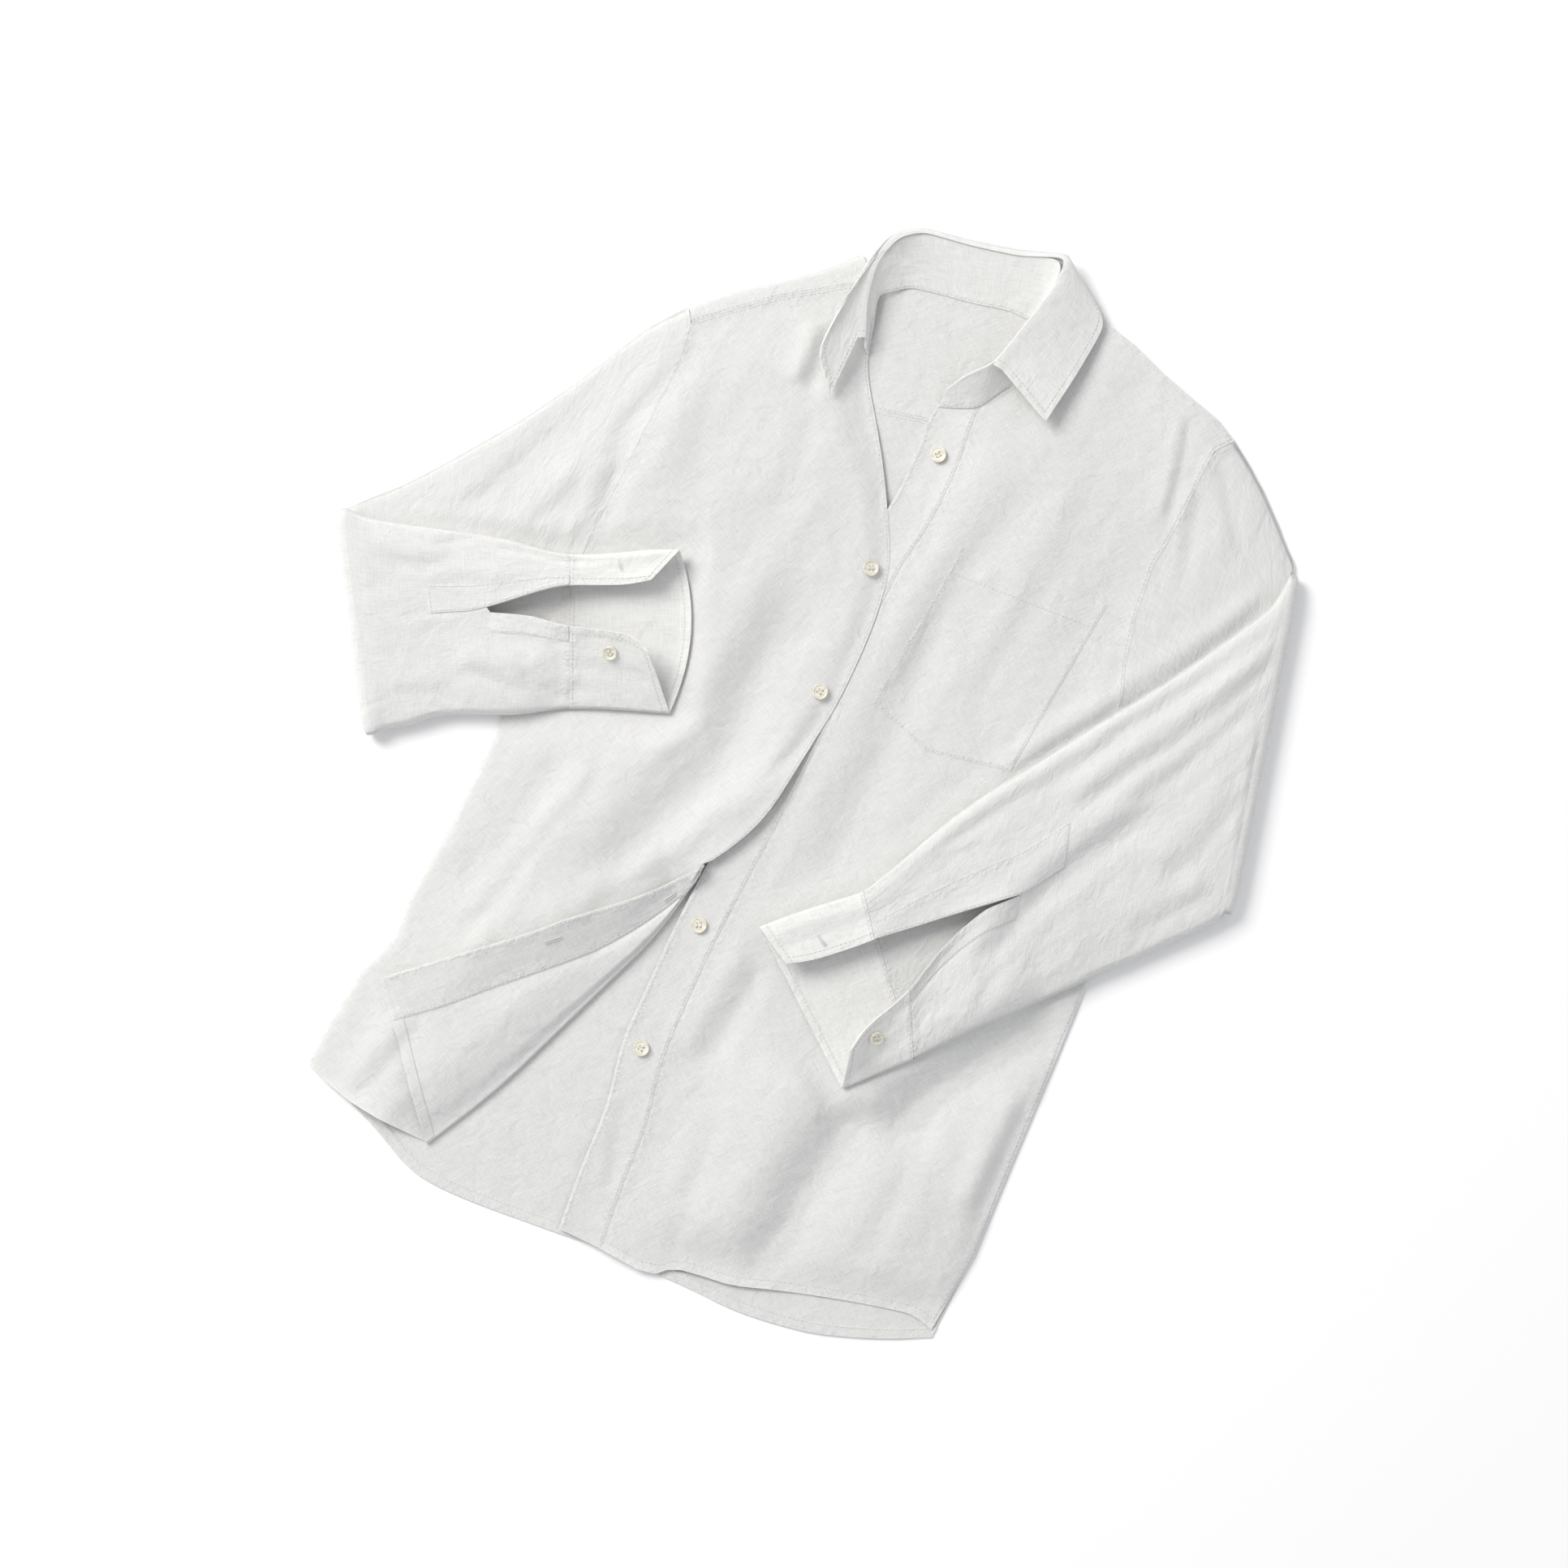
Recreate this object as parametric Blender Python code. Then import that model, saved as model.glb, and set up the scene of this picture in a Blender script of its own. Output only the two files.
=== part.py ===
"""A woven shirt laid flat on its back, crumpled, sleeves folded in over the body.

Every cloth piece is a closed wall. Its middle surface is a grid of points, placed
from the shirt's outline and raised by shared height functions, and a Solidify
modifier gives it the cloth's thickness. Sizes are in millimetres until an object
is made, when they become metres.
"""

import math

import bpy
import numpy as np

# Cloth, in millimetres.
CLOTH = 1.2  # wall of one layer
SEAM_GAP = 0.5  # between two panels that meet edge to edge
LAYER_GAP = 0.4  # between two walls that lie on each other
TABLE_Z = CLOTH / 2  # middle surface of cloth that lies on the table
ON_TOP = CLOTH + LAYER_GAP  # from one middle surface to the next one on it
SIDE_Z = TABLE_Z + ON_TOP  # middle surface of a front where it is sewn to the back

# Trim, in millimetres.
BUTTON_DIAMETER = 11.5
BUTTON_THICKNESS = 2.4
CUFF_BUTTON_DIAMETER = 10.5

# Scale and place of the outline points, which are written in the pixels of the
# picture the shirt is made from. PICTURE_ORIGIN is over the object's origin.
MM_PER_PIXEL = 0.6
PICTURE_ORIGIN = (987.9, 965.5)

# Heights of the cloth's middle surface, in millimetres.
CALM_Z = 7.0  # upper cloth where a folded sleeve hides it
LEFT_BASE = 5.0
RIGHT_BASE = 10.0
SLEEVE_BASE = 7.5
ROLL_WIDTH = 15.0  # over which a front rolls down to its side seam
HIDDEN_MARGIN = 28.0  # over which the upper cloth calms down towards a forearm
FOREARM_CLEARANCE = 3.4  # forearm's lower layer above the cloth it lies on

# Elbow fold: the sleeve turns over itself, the inner layer round the smaller radius.
ELBOW_INNER = 2.2
ELBOW_OUTER = 8.5
ELBOW_CENTRE_Z = TABLE_Z + ELBOW_OUTER

# Turned-back corner: its roll's radius at the tip and away from it, and the heights
# of its band's two borders over the cloth that it lies on.
FLAP_TIP_RADIUS = 2.4
FLAP_RADIUS = 6.0
FLAP_BAND_RISE = 3.4
FLAP_EDGE_RISE = 6.0
FLAP_START = 0.66  # share of the right side, from the shoulder, where the roll begins

# Where the upper arms begin and the armholes end, in picture pixels.
RIGHT_ARM_X = 790
LEFT_ARM_X = 1330
RIGHT_ARM_LOW = 800
RIGHT_UNDERARM = (690, 765)
LEFT_UNDERARM = (1385, 985)

PANEL_INSET = 0.6  # trim strips end this far inside the panel they lie on
COLLAR_FALL_LIFT = 0.4
STAND_TOP_DROP = 1.3  # stand's top below the collar's ridge
AROUND = 3.0  # reach within which the stand's foot clears the highest cloth

CLOTH_COLOUR = (0.80, 0.80, 0.79)
SHELL_COLOUR = (0.72, 0.68, 0.58)


# Outline points, picture pixels: (across, down).
RIGHT_ARMHOLE = [
    (852, 396), (845, 425), (833, 455), (810, 500), (775, 570), (735, 645), (690, 740),
]
RIGHT_SIDE = [
    (690, 740), (655, 810), (620, 882), (590, 945), (560, 1005), (530, 1060),
    (505, 1105), (485, 1155), (440, 1200), (405, 1260), (377, 1310),
]
RIGHT_SHOULDER_SEAM = [(852, 396), (960, 365), (1005, 358), (1045, 351), (1083, 350)]
RIGHT_NECKLINE = [(1083, 350), (1079, 390), (1071, 432)]
RIGHT_EDGE = [
    (1071, 432), (1069, 450), (1072, 480), (1080, 520), (1088, 570), (1094, 630),
    (1097, 680), (1094, 710), (1083, 750), (1068, 790), (1050, 830), (1030, 870),
    (1005, 910), (980, 950), (955, 990), (930, 1020), (900, 1045), (868, 1066),
]
FLAP_FOLD = [
    (868, 1066), (835, 1118), (800, 1162), (755, 1205), (690, 1268), (610, 1345),
    (525, 1410),
]
FLAP_EDGE = [
    (868, 1066), (840, 1080), (800, 1100), (750, 1116), (700, 1131), (650, 1150),
    (600, 1165), (550, 1180), (500, 1195), (470, 1205),
]
FLAP_BAND = [
    (868, 1068), (850, 1098), (800, 1135), (740, 1170), (700, 1185), (650, 1203),
    (600, 1220), (550, 1240), (485, 1258),
]
RIGHT_HEM = [(377, 1310), (400, 1333), (430, 1357), (465, 1378), (525, 1410)]

LEFT_NECK = [
    (1207, 500), (1245, 478), (1272, 445), (1284, 415), (1292, 396), (1330, 388),
    (1365, 397),
]
LEFT_SHOULDER = [
    (1365, 397), (1400, 425), (1430, 455), (1470, 490), (1500, 515), (1522, 543),
]
LEFT_ARMHOLE = [
    (1522, 543), (1497, 556), (1482, 585), (1470, 610), (1450, 650), (1421, 699),
    (1400, 760), (1387, 820), (1380, 900), (1385, 960),
]
LEFT_SIDE = [
    (1385, 960), (1370, 1080), (1345, 1200), (1300, 1310), (1245, 1440),
    (1200, 1550), (1148, 1640),
]
LEFT_EDGE = [
    (1155, 497), (1143, 518), (1133, 549), (1100, 620), (1049, 688), (987, 840),
    (917, 978), (837, 1128), (800, 1210), (767, 1280), (755, 1330), (745, 1370),
    (715, 1440), (688, 1515),
]
LEFT_BAND = [
    (1207, 500), (1194, 532), (1182, 572), (1150, 640), (1100, 712), (1038, 858),
    (966, 1000), (886, 1150), (848, 1232), (820, 1296), (806, 1346), (797, 1388),
    (768, 1458), (740, 1540),
]
LEFT_HEM = [
    (740, 1540), (800, 1573), (830, 1563), (870, 1575), (900, 1585), (950, 1590),
    (1000, 1597), (1050, 1605), (1100, 1615), (1125, 1621), (1148, 1640),
]

BACK_SEAM = [
    (820, 440), (950, 470), (1070, 502), (1142, 517), (1250, 553), (1360, 592),
    (1490, 640),
]
BACK_HEM = [
    (377, 1310), (400, 1335), (430, 1360), (460, 1390), (500, 1440), (540, 1465),
    (600, 1490), (690, 1522), (735, 1538), (780, 1562), (810, 1572), (850, 1590),
    (900, 1615), (950, 1632), (1000, 1645), (1050, 1650), (1100, 1652), (1148, 1650),
]
YOKE_SHOULDER = [
    (849, 377), (900, 360), (950, 348), (1000, 336), (1030, 326), (1062, 312),
]
YOKE_NECK = [
    (1062, 312), (1084, 334), (1108, 345), (1130, 347), (1160, 357), (1200, 368),
    (1245, 377), (1280, 391), (1330, 388), (1365, 397),
]

POCKET_LEFT = [(1185, 675), (1075, 865)]
POCKET_RIGHT = [(1365, 745), (1245, 950)]
POCKET_POINT = (1142, 925)

# Right sleeve rings: upper edge, lower edge, slit edge on the upper and on the lower
# flap (picture pixels), puff of the top layer over the lower one and height of the
# two slit edges over it (mm), and how far the lower layer's middle reaches on (px).
RING_COLUMNS = ("e0", "e1", "g1", "g2", "puff", "lift1", "lift2", "reach")
RIGHT_UPPER_ARM = [
    ((848, 377), (690, 740)),
    ((800, 402), (664, 758)),
    ((760, 432), (640, 775)),
    ((700, 478), (612, 793)),
    ((640, 518), (580, 815)),
    ((580, 552), (550, 835)),
    ((530, 580), (523, 852)),
    ((490, 600), (500, 865)),
    ((450, 615), (475, 886)),
]
RIGHT_ELBOW = ((412, 628), (447, 906))
RIGHT_FOREARM = [
    ((450, 637), (478, 898), (458, 768), (458, 768), 9, 0, 0, 0),
    ((485, 643), (505, 893), (495, 764), (495, 764), 10, 0, 0, 0),
    ((520, 648), (530, 884), (530, 757), (530, 757), 11, 0, 0, 0),
    ((550, 652), (552, 880), (555, 755), (555, 755), 12, 0, 0, 0),
    ((578, 656), (575, 880), (580, 754), (580, 754), 13, 0, 0, 0),
    ((603, 660), (598, 880), (605, 748), (605, 755), 14, 3, 0, 0),
    ((628, 666), (622, 881), (632, 740), (632, 757), 15, 6, 1, 0),
    ((655, 674), (648, 879), (660, 731), (658, 760), 15, 9, 2, 0),
    ((680, 681), (675, 875), (683, 725), (680, 767), 15, 12, 3, 0),
    ((704, 685), (702, 872), (703, 722), (703, 773), 15, 15, 5, 0),
]
RIGHT_CUFF = [
    ((730, 685), (727, 872), (728, 722), (730, 776), 15, 17, 6, 2),
    ((752, 684), (748, 873), (748, 722), (750, 778), 15, 18, 7, 4),
    ((775, 682), (768, 874), (765, 722), (768, 781), 16, 19, 9, 7),
    ((805, 679), (795, 876), (783, 720), (785, 788), 18, 20, 12, 12),
    ((838, 679), (825, 878), (803, 716), (801, 806), 20, 22, 16, 20),
]

LEFT_UPPER_ARM = [
    ((1522, 543), (1386, 959)),
    ((1540, 572), (1408, 985)),
    ((1558, 606), (1432, 1012)),
    ((1575, 645), (1456, 1040)),
    ((1587, 676), (1478, 1068)),
    ((1597, 697), (1500, 1098)),
]
LEFT_ELBOW = ((1604, 712), (1522, 1128))
LEFT_FOREARM = [
    ((1570, 745), (1498, 1138), (1535, 940), (1535, 940), 9, 0, 0, 0),
    ((1530, 775), (1462, 1154), (1496, 965), (1496, 965), 10, 0, 0, 0),
    ((1485, 807), (1422, 1172), (1452, 988), (1452, 988), 11, 0, 0, 0),
    ((1440, 838), (1382, 1190), (1408, 1012), (1408, 1012), 12, 0, 0, 0),
    ((1398, 864), (1348, 1203), (1370, 1034), (1370, 1034), 13, 0, 0, 0),
    ((1355, 890), (1312, 1220), (1330, 1055), (1330, 1055), 14, 0, 0, 0),
    ((1312, 917), (1275, 1236), (1292, 1080), (1292, 1080), 15, 0, 0, 0),
    ((1272, 943), (1238, 1252), (1255, 1102), (1255, 1102), 15, 2, 0, 0),
    ((1225, 972), (1200, 1267), (1208, 1116), (1213, 1120), 15, 6, 1, 0),
    ((1180, 1003), (1170, 1281), (1163, 1130), (1182, 1145), 15, 10, 3, 0),
    ((1140, 1036), (1147, 1292), (1122, 1143), (1155, 1172), 15, 13, 5, 0),
    ((1100, 1070), (1133, 1300), (1098, 1150), (1136, 1196), 15, 15, 7, 0),
    ((1064, 1099), (1126, 1303), (1078, 1156), (1120, 1217), 15, 17, 8, 0),
]
LEFT_CUFF = [
    ((1040, 1107), (1110, 1309), (1058, 1164), (1106, 1230), 15, 18, 9, 0),
    ((1015, 1114), (1093, 1316), (1037, 1171), (1092, 1242), 15, 19, 10, 0),
    ((988, 1123), (1074, 1324), (1012, 1179), (1076, 1254), 16, 20, 12, 0),
    ((962, 1132), (1056, 1332), (990, 1184), (1060, 1270), 17, 21, 14, 0),
    ((936, 1142), (1037, 1340), (968, 1186), (1047, 1290), 18, 22, 18, 0),
]

# Collar stations from the right front round the neck to the left front: where the
# stand is sewn on, the ridge, the outermost roll and the free edge. Each is across
# and down in picture pixels and height in mm. The stand takes its foot from the
# cloth under it, so its seam has no height here.
COLLAR_COLUMNS = ("seam", "ridge", "roll", "edge")
COLLAR = [
    ((1069, 426), (1064, 404, 27), (1053, 402, 27), (1023, 487, 14)),
    ((1077, 392), (1070, 365, 28), (1059, 364, 28), (1008, 438, 14)),
    ((1082, 362), (1080, 325, 25), (1070, 321, 24), (1036, 384, 15)),
    ((1122, 352), (1107, 294, 18), (1099, 288, 16.5), (1086, 306, 11)),
    ((1160, 361), (1137, 286, 12), (1134, 280, 10.5), (1136, 325, 1.2)),
    ((1200, 372), (1196, 303, 11), (1194, 296, 9.5), (1192, 340, 1.2)),
    ((1245, 381), (1255, 316, 12), (1257, 309, 10.5), (1247, 350, 1.2)),
    ((1276, 396), (1314, 319, 19), (1322, 315, 17.5), (1345, 362, 6)),
    ((1281, 421), (1297, 357, 28), (1308, 357, 27), (1362, 400, 13)),
    ((1258, 464), (1262, 402, 30), (1273, 406, 29), (1326, 462, 14)),
    ((1205, 502), (1222, 452, 30), (1233, 458, 29), (1287, 521, 13)),
]
STAND_RIGHT_END = ((1070, 436), (1066, 422, 20))
STAND_LEFT_END = [((1182, 502), (1190, 462, 25)), ((1158, 500), (1166, 480, 14))]

# Large folds: the dark slope's centre line (picture pixels), the distance from it to
# the crest (mm), the crest's height (mm) and the trough's share of it.
FOLD_COLUMNS = ("line", "reach", "height", "trough")
RIGHT_FOLDS = [
    ([(985, 670), (971, 705), (941, 766), (897, 844), (867, 940), (800, 990),
      (758, 1027), (723, 1057), (660, 1105)], 26, 5.0, 0.7),
    ([(700, 915), (685, 930), (650, 970), (615, 1015), (580, 1050), (540, 1090)],
     22, 3.5, 0.7),
    ([(880, 395), (815, 455), (780, 500), (740, 560), (715, 640)], 20, 2.5, 0.5),
    ([(760, 470), (700, 510), (600, 600), (540, 650)], 20, 2.5, 0.5),
]
LEFT_FOLDS = [
    ([(1290, 530), (1270, 570), (1210, 650), (1150, 750), (1120, 800), (1090, 860),
      (1063, 936), (1032, 1001), (1005, 1055), (975, 1110)], 25, 4.5, 0.6),
    ([(1060, 1330), (1035, 1371), (1013, 1407), (995, 1435), (976, 1466),
      (958, 1503), (935, 1530), (910, 1580)], 24, 7.0, 0.5),
    ([(945, 1165), (928, 1190), (905, 1230), (885, 1260), (850, 1320)], 14, 3.0, 0.6),
    ([(1290, 1240), (1230, 1300), (1200, 1380), (1180, 1420)], 22, 3.0, 0.4),
]

# Broad swells: centre (picture pixels), radii along and across its axis (mm), the
# axis's angle from straight right towards down (degrees) and the height (mm).
SWELL_COLUMNS = ("centre", "along", "across", "angle", "height")
RIGHT_SWELLS = [
    ((905, 1000), 75, 26, 135, 6.0),
    ((800, 600), 90, 60, 120, 3.0),
    ((640, 1150), 110, 22, 155, 4.0),
    ((560, 1240), 60, 30, 150, 2.0),
]
LEFT_SWELLS = [
    ((1270, 640), 110, 40, 115, 5.0),
    ((1180, 1450), 120, 40, 115, 6.0),
    ((940, 1340), 70, 40, 120, 4.0),
    ((1060, 1500), 60, 40, 115, 4.0),
]


def at(point):
    """A picture point, or a list of them, as millimetres from the origin."""
    points = np.asarray(point, float)
    across = (points[..., 0] - PICTURE_ORIGIN[0]) * MM_PER_PIXEL
    up = (PICTURE_ORIGIN[1] - points[..., 1]) * MM_PER_PIXEL
    return np.stack([across, up], axis=-1)


def along(points, shares):
    """Points at the given shares of a polyline's length."""
    points = np.asarray(points, float)
    step = np.linalg.norm(np.diff(points, axis=0), axis=1)
    reached = np.concatenate([[0.0], np.cumsum(step)])
    want = np.asarray(shares) * reached[-1]
    return np.stack([np.interp(want, reached, axis) for axis in points.T], axis=-1)


def eased(points, rounds=2):
    """A polyline with its corners cut and its two ends kept."""
    points = np.asarray(points, float)
    for _ in range(rounds):
        cut = np.empty((2 * len(points), points.shape[1]))
        cut[0], cut[-1] = points[0], points[-1]
        cut[1:-1:2] = 0.75 * points[:-1] + 0.25 * points[1:]
        cut[2::2] = 0.25 * points[:-1] + 0.75 * points[1:]
        points = cut
    return points


def smooth(share):
    share = np.clip(share, 0.0, 1.0)
    return share * share * (3.0 - 2.0 * share)


def to_line(places, line):
    """Distance to a polyline, the side (+1 left of it) and the share along it."""
    places = np.asarray(places, float)
    best = np.full(places.shape[:-1], np.inf)
    side = np.ones_like(best)
    share = np.zeros_like(best)
    step = np.linalg.norm(np.diff(line, axis=0), axis=1)
    reached = np.concatenate([[0.0], np.cumsum(step)])
    for start, end, length, before in zip(line[:-1], line[1:], step, reached):
        way = (end - start) / length
        offset = places - start
        reach = np.clip(offset @ way, 0.0, length)
        away = offset - reach[..., None] * way
        distance = np.linalg.norm(away, axis=-1)
        closer = distance < best
        turn = way[0] * offset[..., 1] - way[1] * offset[..., 0]
        best = np.where(closer, distance, best)
        side = np.where(closer, np.where(turn >= 0, 1.0, -1.0), side)
        share = np.where(closer, (before + reach) / reached[-1], share)
    return best, side, share


def inside(places, outline):
    """True where a place is inside the closed outline."""
    x, y = places[..., 0], places[..., 1]
    found = np.zeros(x.shape, bool)
    for (x0, y0), (x1, y1) in zip(outline, np.roll(outline, -1, axis=0)):
        if y0 == y1:
            continue
        crosses = (y0 > y) != (y1 > y)
        found ^= crosses & (x < x0 + (y - y0) * (x1 - x0) / (y1 - y0))
    return found


def fold_height(places, folds):
    """A crest above and left of each fold's line and a trough below and right."""
    total = np.zeros(places.shape[:-1])
    for row in folds:
        fold = dict(zip(FOLD_COLUMNS, row))
        reach, height, trough = fold["reach"], fold["height"], fold["trough"]
        route = eased(at(fold["line"]))
        distance, side, share = to_line(places, route)
        # The line runs down the picture, so its right-hand side, seen along it, is
        # the upper left, where the crest is.
        signed = -side * distance
        wide = np.where(signed > 0, reach, reach * trough)
        tall = np.where(signed > 0, height, height * trough)
        shape = (signed / wide) * np.exp(0.5 - 0.5 * (signed / wide) ** 2)
        ends = smooth(share / 0.2) * smooth((1.0 - share) / 0.2)
        total += tall * shape * ends
    return total


def swell_height(places, swells):
    total = np.zeros(places.shape[:-1])
    for row in swells:
        swell = dict(zip(SWELL_COLUMNS, row))
        turn = -math.radians(swell["angle"])
        offset = places - at(swell["centre"])
        first = offset[..., 0] * math.cos(turn) + offset[..., 1] * math.sin(turn)
        second = offset[..., 1] * math.cos(turn) - offset[..., 0] * math.sin(turn)
        reach = (first / swell["along"]) ** 2 + (second / swell["across"]) ** 2
        total += swell["height"] * np.exp(-reach)
    return total


def side_data(shoulder, upper, elbow, side, rest, forearm):
    """Rolled edges, footprint and forearm outline of one half of the shirt."""
    top = at(shoulder + [row[0] for row in upper[1:]] + [elbow[0]])
    low = at([elbow[1]] + [row[1] for row in upper[::-1]] + side[1:])
    first = at([elbow[0]] + [row[0] for row in forearm])
    second = at([elbow[1]] + [row[1] for row in forearm])
    return {
        "rolled": (top, low),
        "footprint": np.concatenate([top, low, at(rest)]),
        "forearm": np.concatenate([first, second[::-1]]),
    }


# Beyond these rough borders no cloth rolls down: the fronts end there in free edges.
RIGHT_OPEN_SIDE = [
    (360, 1400), (560, 1540), (900, 1300), (1200, 1000), (1200, 600), (1130, 300),
]
LEFT_OPEN_SIDE = [
    (1140, 1720), (640, 1640), (640, 1300), (850, 800), (1050, 500), (1250, 330),
]
RIGHT = side_data(
    YOKE_SHOULDER[::-1], RIGHT_UPPER_ARM, RIGHT_ELBOW, RIGHT_SIDE, RIGHT_OPEN_SIDE,
    RIGHT_FOREARM + RIGHT_CUFF,
)
LEFT = side_data(
    LEFT_SHOULDER, LEFT_UPPER_ARM, LEFT_ELBOW, LEFT_SIDE, LEFT_OPEN_SIDE,
    LEFT_FOREARM + LEFT_CUFF,
)


def upper_cloth(places, half, base, folds, swells):
    """Height of the shirt's upper layer: fronts and the top of the upper arms."""
    free = base + fold_height(places, folds) + swell_height(places, swells)
    under, _, _ = to_line(places, np.vstack([half["forearm"], half["forearm"][:1]]))
    under = np.where(inside(places, half["forearm"]), under, -under)
    hidden = smooth((under + HIDDEN_MARGIN) / HIDDEN_MARGIN)
    level = np.maximum(free * (1.0 - hidden) + CALM_Z * hidden, SIDE_Z)
    away = np.minimum(*(to_line(places, line)[0] for line in half["rolled"]))
    away = np.where(inside(places, half["footprint"]), away, 0.0)
    rise = 1.0 - np.clip(away / ROLL_WIDTH, 0.0, 1.0)
    return SIDE_Z + (level - SIDE_Z) * np.sqrt(1.0 - rise**2)


def right_cloth(places):
    """The right front and the upper right arm, which is a little lower."""
    arm = smooth((at((RIGHT_ARM_X, 0))[0] - places[..., 0]) / 40.0 + 0.5)
    arm = arm * smooth((places[..., 1] - at((0, RIGHT_ARM_LOW))[1]) / 60.0)
    base = RIGHT_BASE + (SLEEVE_BASE - RIGHT_BASE) * arm
    return upper_cloth(places, RIGHT, base, RIGHT_FOLDS, RIGHT_SWELLS)


def left_cloth(places):
    """The left front, flat where the right one lies on it, and the upper left arm."""
    distance, side, share = to_line(places, at(LEFT_EDGE))
    opened = smooth((distance * side - 10.0) / 45.0)
    base = LEFT_BASE + (SLEEVE_BASE - LEFT_BASE) * smooth(
        (places[..., 0] - at((LEFT_ARM_X, 0))[0]) / 60.0
    )
    level = upper_cloth(places, LEFT, base, LEFT_FOLDS, LEFT_SWELLS)
    return LEFT_BASE + (level - LEFT_BASE) * np.maximum(opened, smooth(share * 3 - 2))


def patch(top, bottom, left, right, across, down):
    """Places of a four-sided panel. Each side is a polyline in millimetres, and
    across and down are shares that give the columns and the rows."""
    u, v = np.asarray(across), np.asarray(down)
    first, last = along(top, u), along(bottom, u)
    start, end = along(left, v), along(right, v)
    u, v = u[None, :, None], v[:, None, None]
    corners = (
        (1 - u) * (1 - v) * first[0] + u * (1 - v) * first[-1]
        + (1 - u) * v * last[0] + u * v * last[-1]
    )
    return (
        (1 - v) * first[None] + v * last[None]
        + (1 - u) * start[:, None] + u * end[:, None] - corners
    )


def raised(places, height):
    """Places (grid, 2) with a height, or a height function, as points (grid, 3)."""
    tall = height(places) if callable(height) else np.full(places.shape[:-1], height)
    return np.concatenate([places, tall[..., None]], axis=-1)


def drawn_in(grid, sides, gap=SEAM_GAP / 2):
    """The grid with the named borders moved in, so that seams don't touch."""
    grid = grid.copy()
    rows = {"top": (0, 1), "bottom": (-1, -2)}
    columns = {"left": (0, 1), "right": (-1, -2)}
    for side in sides:
        if side in rows:
            border, inner = (grid[k] for k in rows[side])
        else:
            border, inner = (grid[:, k] for k in columns[side])
        way = inner - border
        length = np.linalg.norm(way, axis=-1, keepdims=True)
        border += way / np.maximum(length, 1e-6) * gap
    return grid


def height_on(grids, place):
    """Height of the highest of the grids' cells over a place, or None beside them."""
    found = None
    for grid in grids:
        a, b, c, d = grid[:-1, :-1], grid[:-1, 1:], grid[1:, 1:], grid[1:, :-1]
        for first, second, third in ((a, b, c), (a, c, d)):
            one, two = second - first, third - first
            area = one[..., 0] * two[..., 1] - one[..., 1] * two[..., 0]
            area = np.where(np.abs(area) < 1e-9, 1e-9, area)
            gone = place - first[..., :2]
            p = (gone[..., 0] * two[..., 1] - gone[..., 1] * two[..., 0]) / area
            q = (one[..., 0] * gone[..., 1] - one[..., 1] * gone[..., 0]) / area
            hit = (p >= -1e-6) & (q >= -1e-6) & (p + q <= 1 + 1e-6)
            if hit.any():
                tall = (first[..., 2] + p * one[..., 2] + q * two[..., 2])[hit].max()
                found = tall if found is None else max(found, tall)
    return found


def rest_height(grids, place, around=0.0):
    """The highest cloth over a place and a little around it."""
    tall = []
    for dx, dy in ((0, 0), (around, 0), (-around, 0), (0, around), (0, -around)):
        found = height_on(grids, np.asarray(place) + [dx, dy])
        if found is not None:
            tall.append(found)
    return max(tall)


def shares(count):
    return np.linspace(0.0, 1.0, count + 1)


def material(name, colour, roughness):
    made = bpy.data.materials.new(name)
    made.use_nodes = True
    shader = made.node_tree.nodes["Principled BSDF"]
    shader.inputs["Base Color"].default_value = (*colour, 1.0)
    shader.inputs["Roughness"].default_value = roughness
    shader.inputs["Metallic"].default_value = 0.0
    return made


def surface(grids):
    """One mesh from grids of points, joined where their points are the same."""
    index, points, faces = {}, [], []

    def number(point):
        key = tuple(np.round(point, 3))
        if key not in index:
            index[key] = len(points)
            points.append(point)
        return index[key]

    for grid in grids:
        ids = [[number(point) for point in row] for row in grid]
        for row, below in zip(ids[:-1], ids[1:]):
            for a, b, c, d in zip(row[:-1], row[1:], below[1:], below[:-1]):
                corners = []
                for corner in (a, d, c, b):
                    if corner not in corners:
                        corners.append(corner)
                if len(corners) > 2:
                    faces.append(corners)
    return points, faces


def add_object(name, points, faces, look):
    mesh = bpy.data.meshes.new(name)
    scaled = [tuple(float(x) / 1000.0 for x in point) for point in points]
    mesh.from_pydata(scaled, [], faces)
    mesh.validate()
    mesh.update()
    mesh.materials.append(look)
    made = bpy.data.objects.new(name, mesh)
    bpy.context.scene.collection.objects.link(made)
    return made


def add_cloth(name, grids, thickness=CLOTH):
    """A closed wall of cloth round the grids' middle surface."""
    points, faces = surface(grids)
    made = add_object(name, points, faces, material(name, CLOTH_COLOUR, 0.9))
    wall = made.modifiers.new("Wall", "SOLIDIFY")
    wall.thickness = thickness / 1000.0
    wall.offset = 0.0
    wall.use_rim = True
    wall.use_even_offset = False
    return made


def normals_of(grid):
    """Unit normals of a grid of points, on the side that faces up for a flat one."""
    down = np.gradient(grid, axis=0)
    across = np.gradient(grid, axis=1)
    normal = np.cross(down, across)
    return normal / np.maximum(np.linalg.norm(normal, axis=-1, keepdims=True), 1e-9)


def moved_out(grid, distance=ON_TOP):
    """The grid moved to its upper side, for a strip that lies on it."""
    normal = normals_of(grid)
    if normal[..., 2].mean() < 0:
        normal = -normal
    return grid + normal * distance


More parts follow.
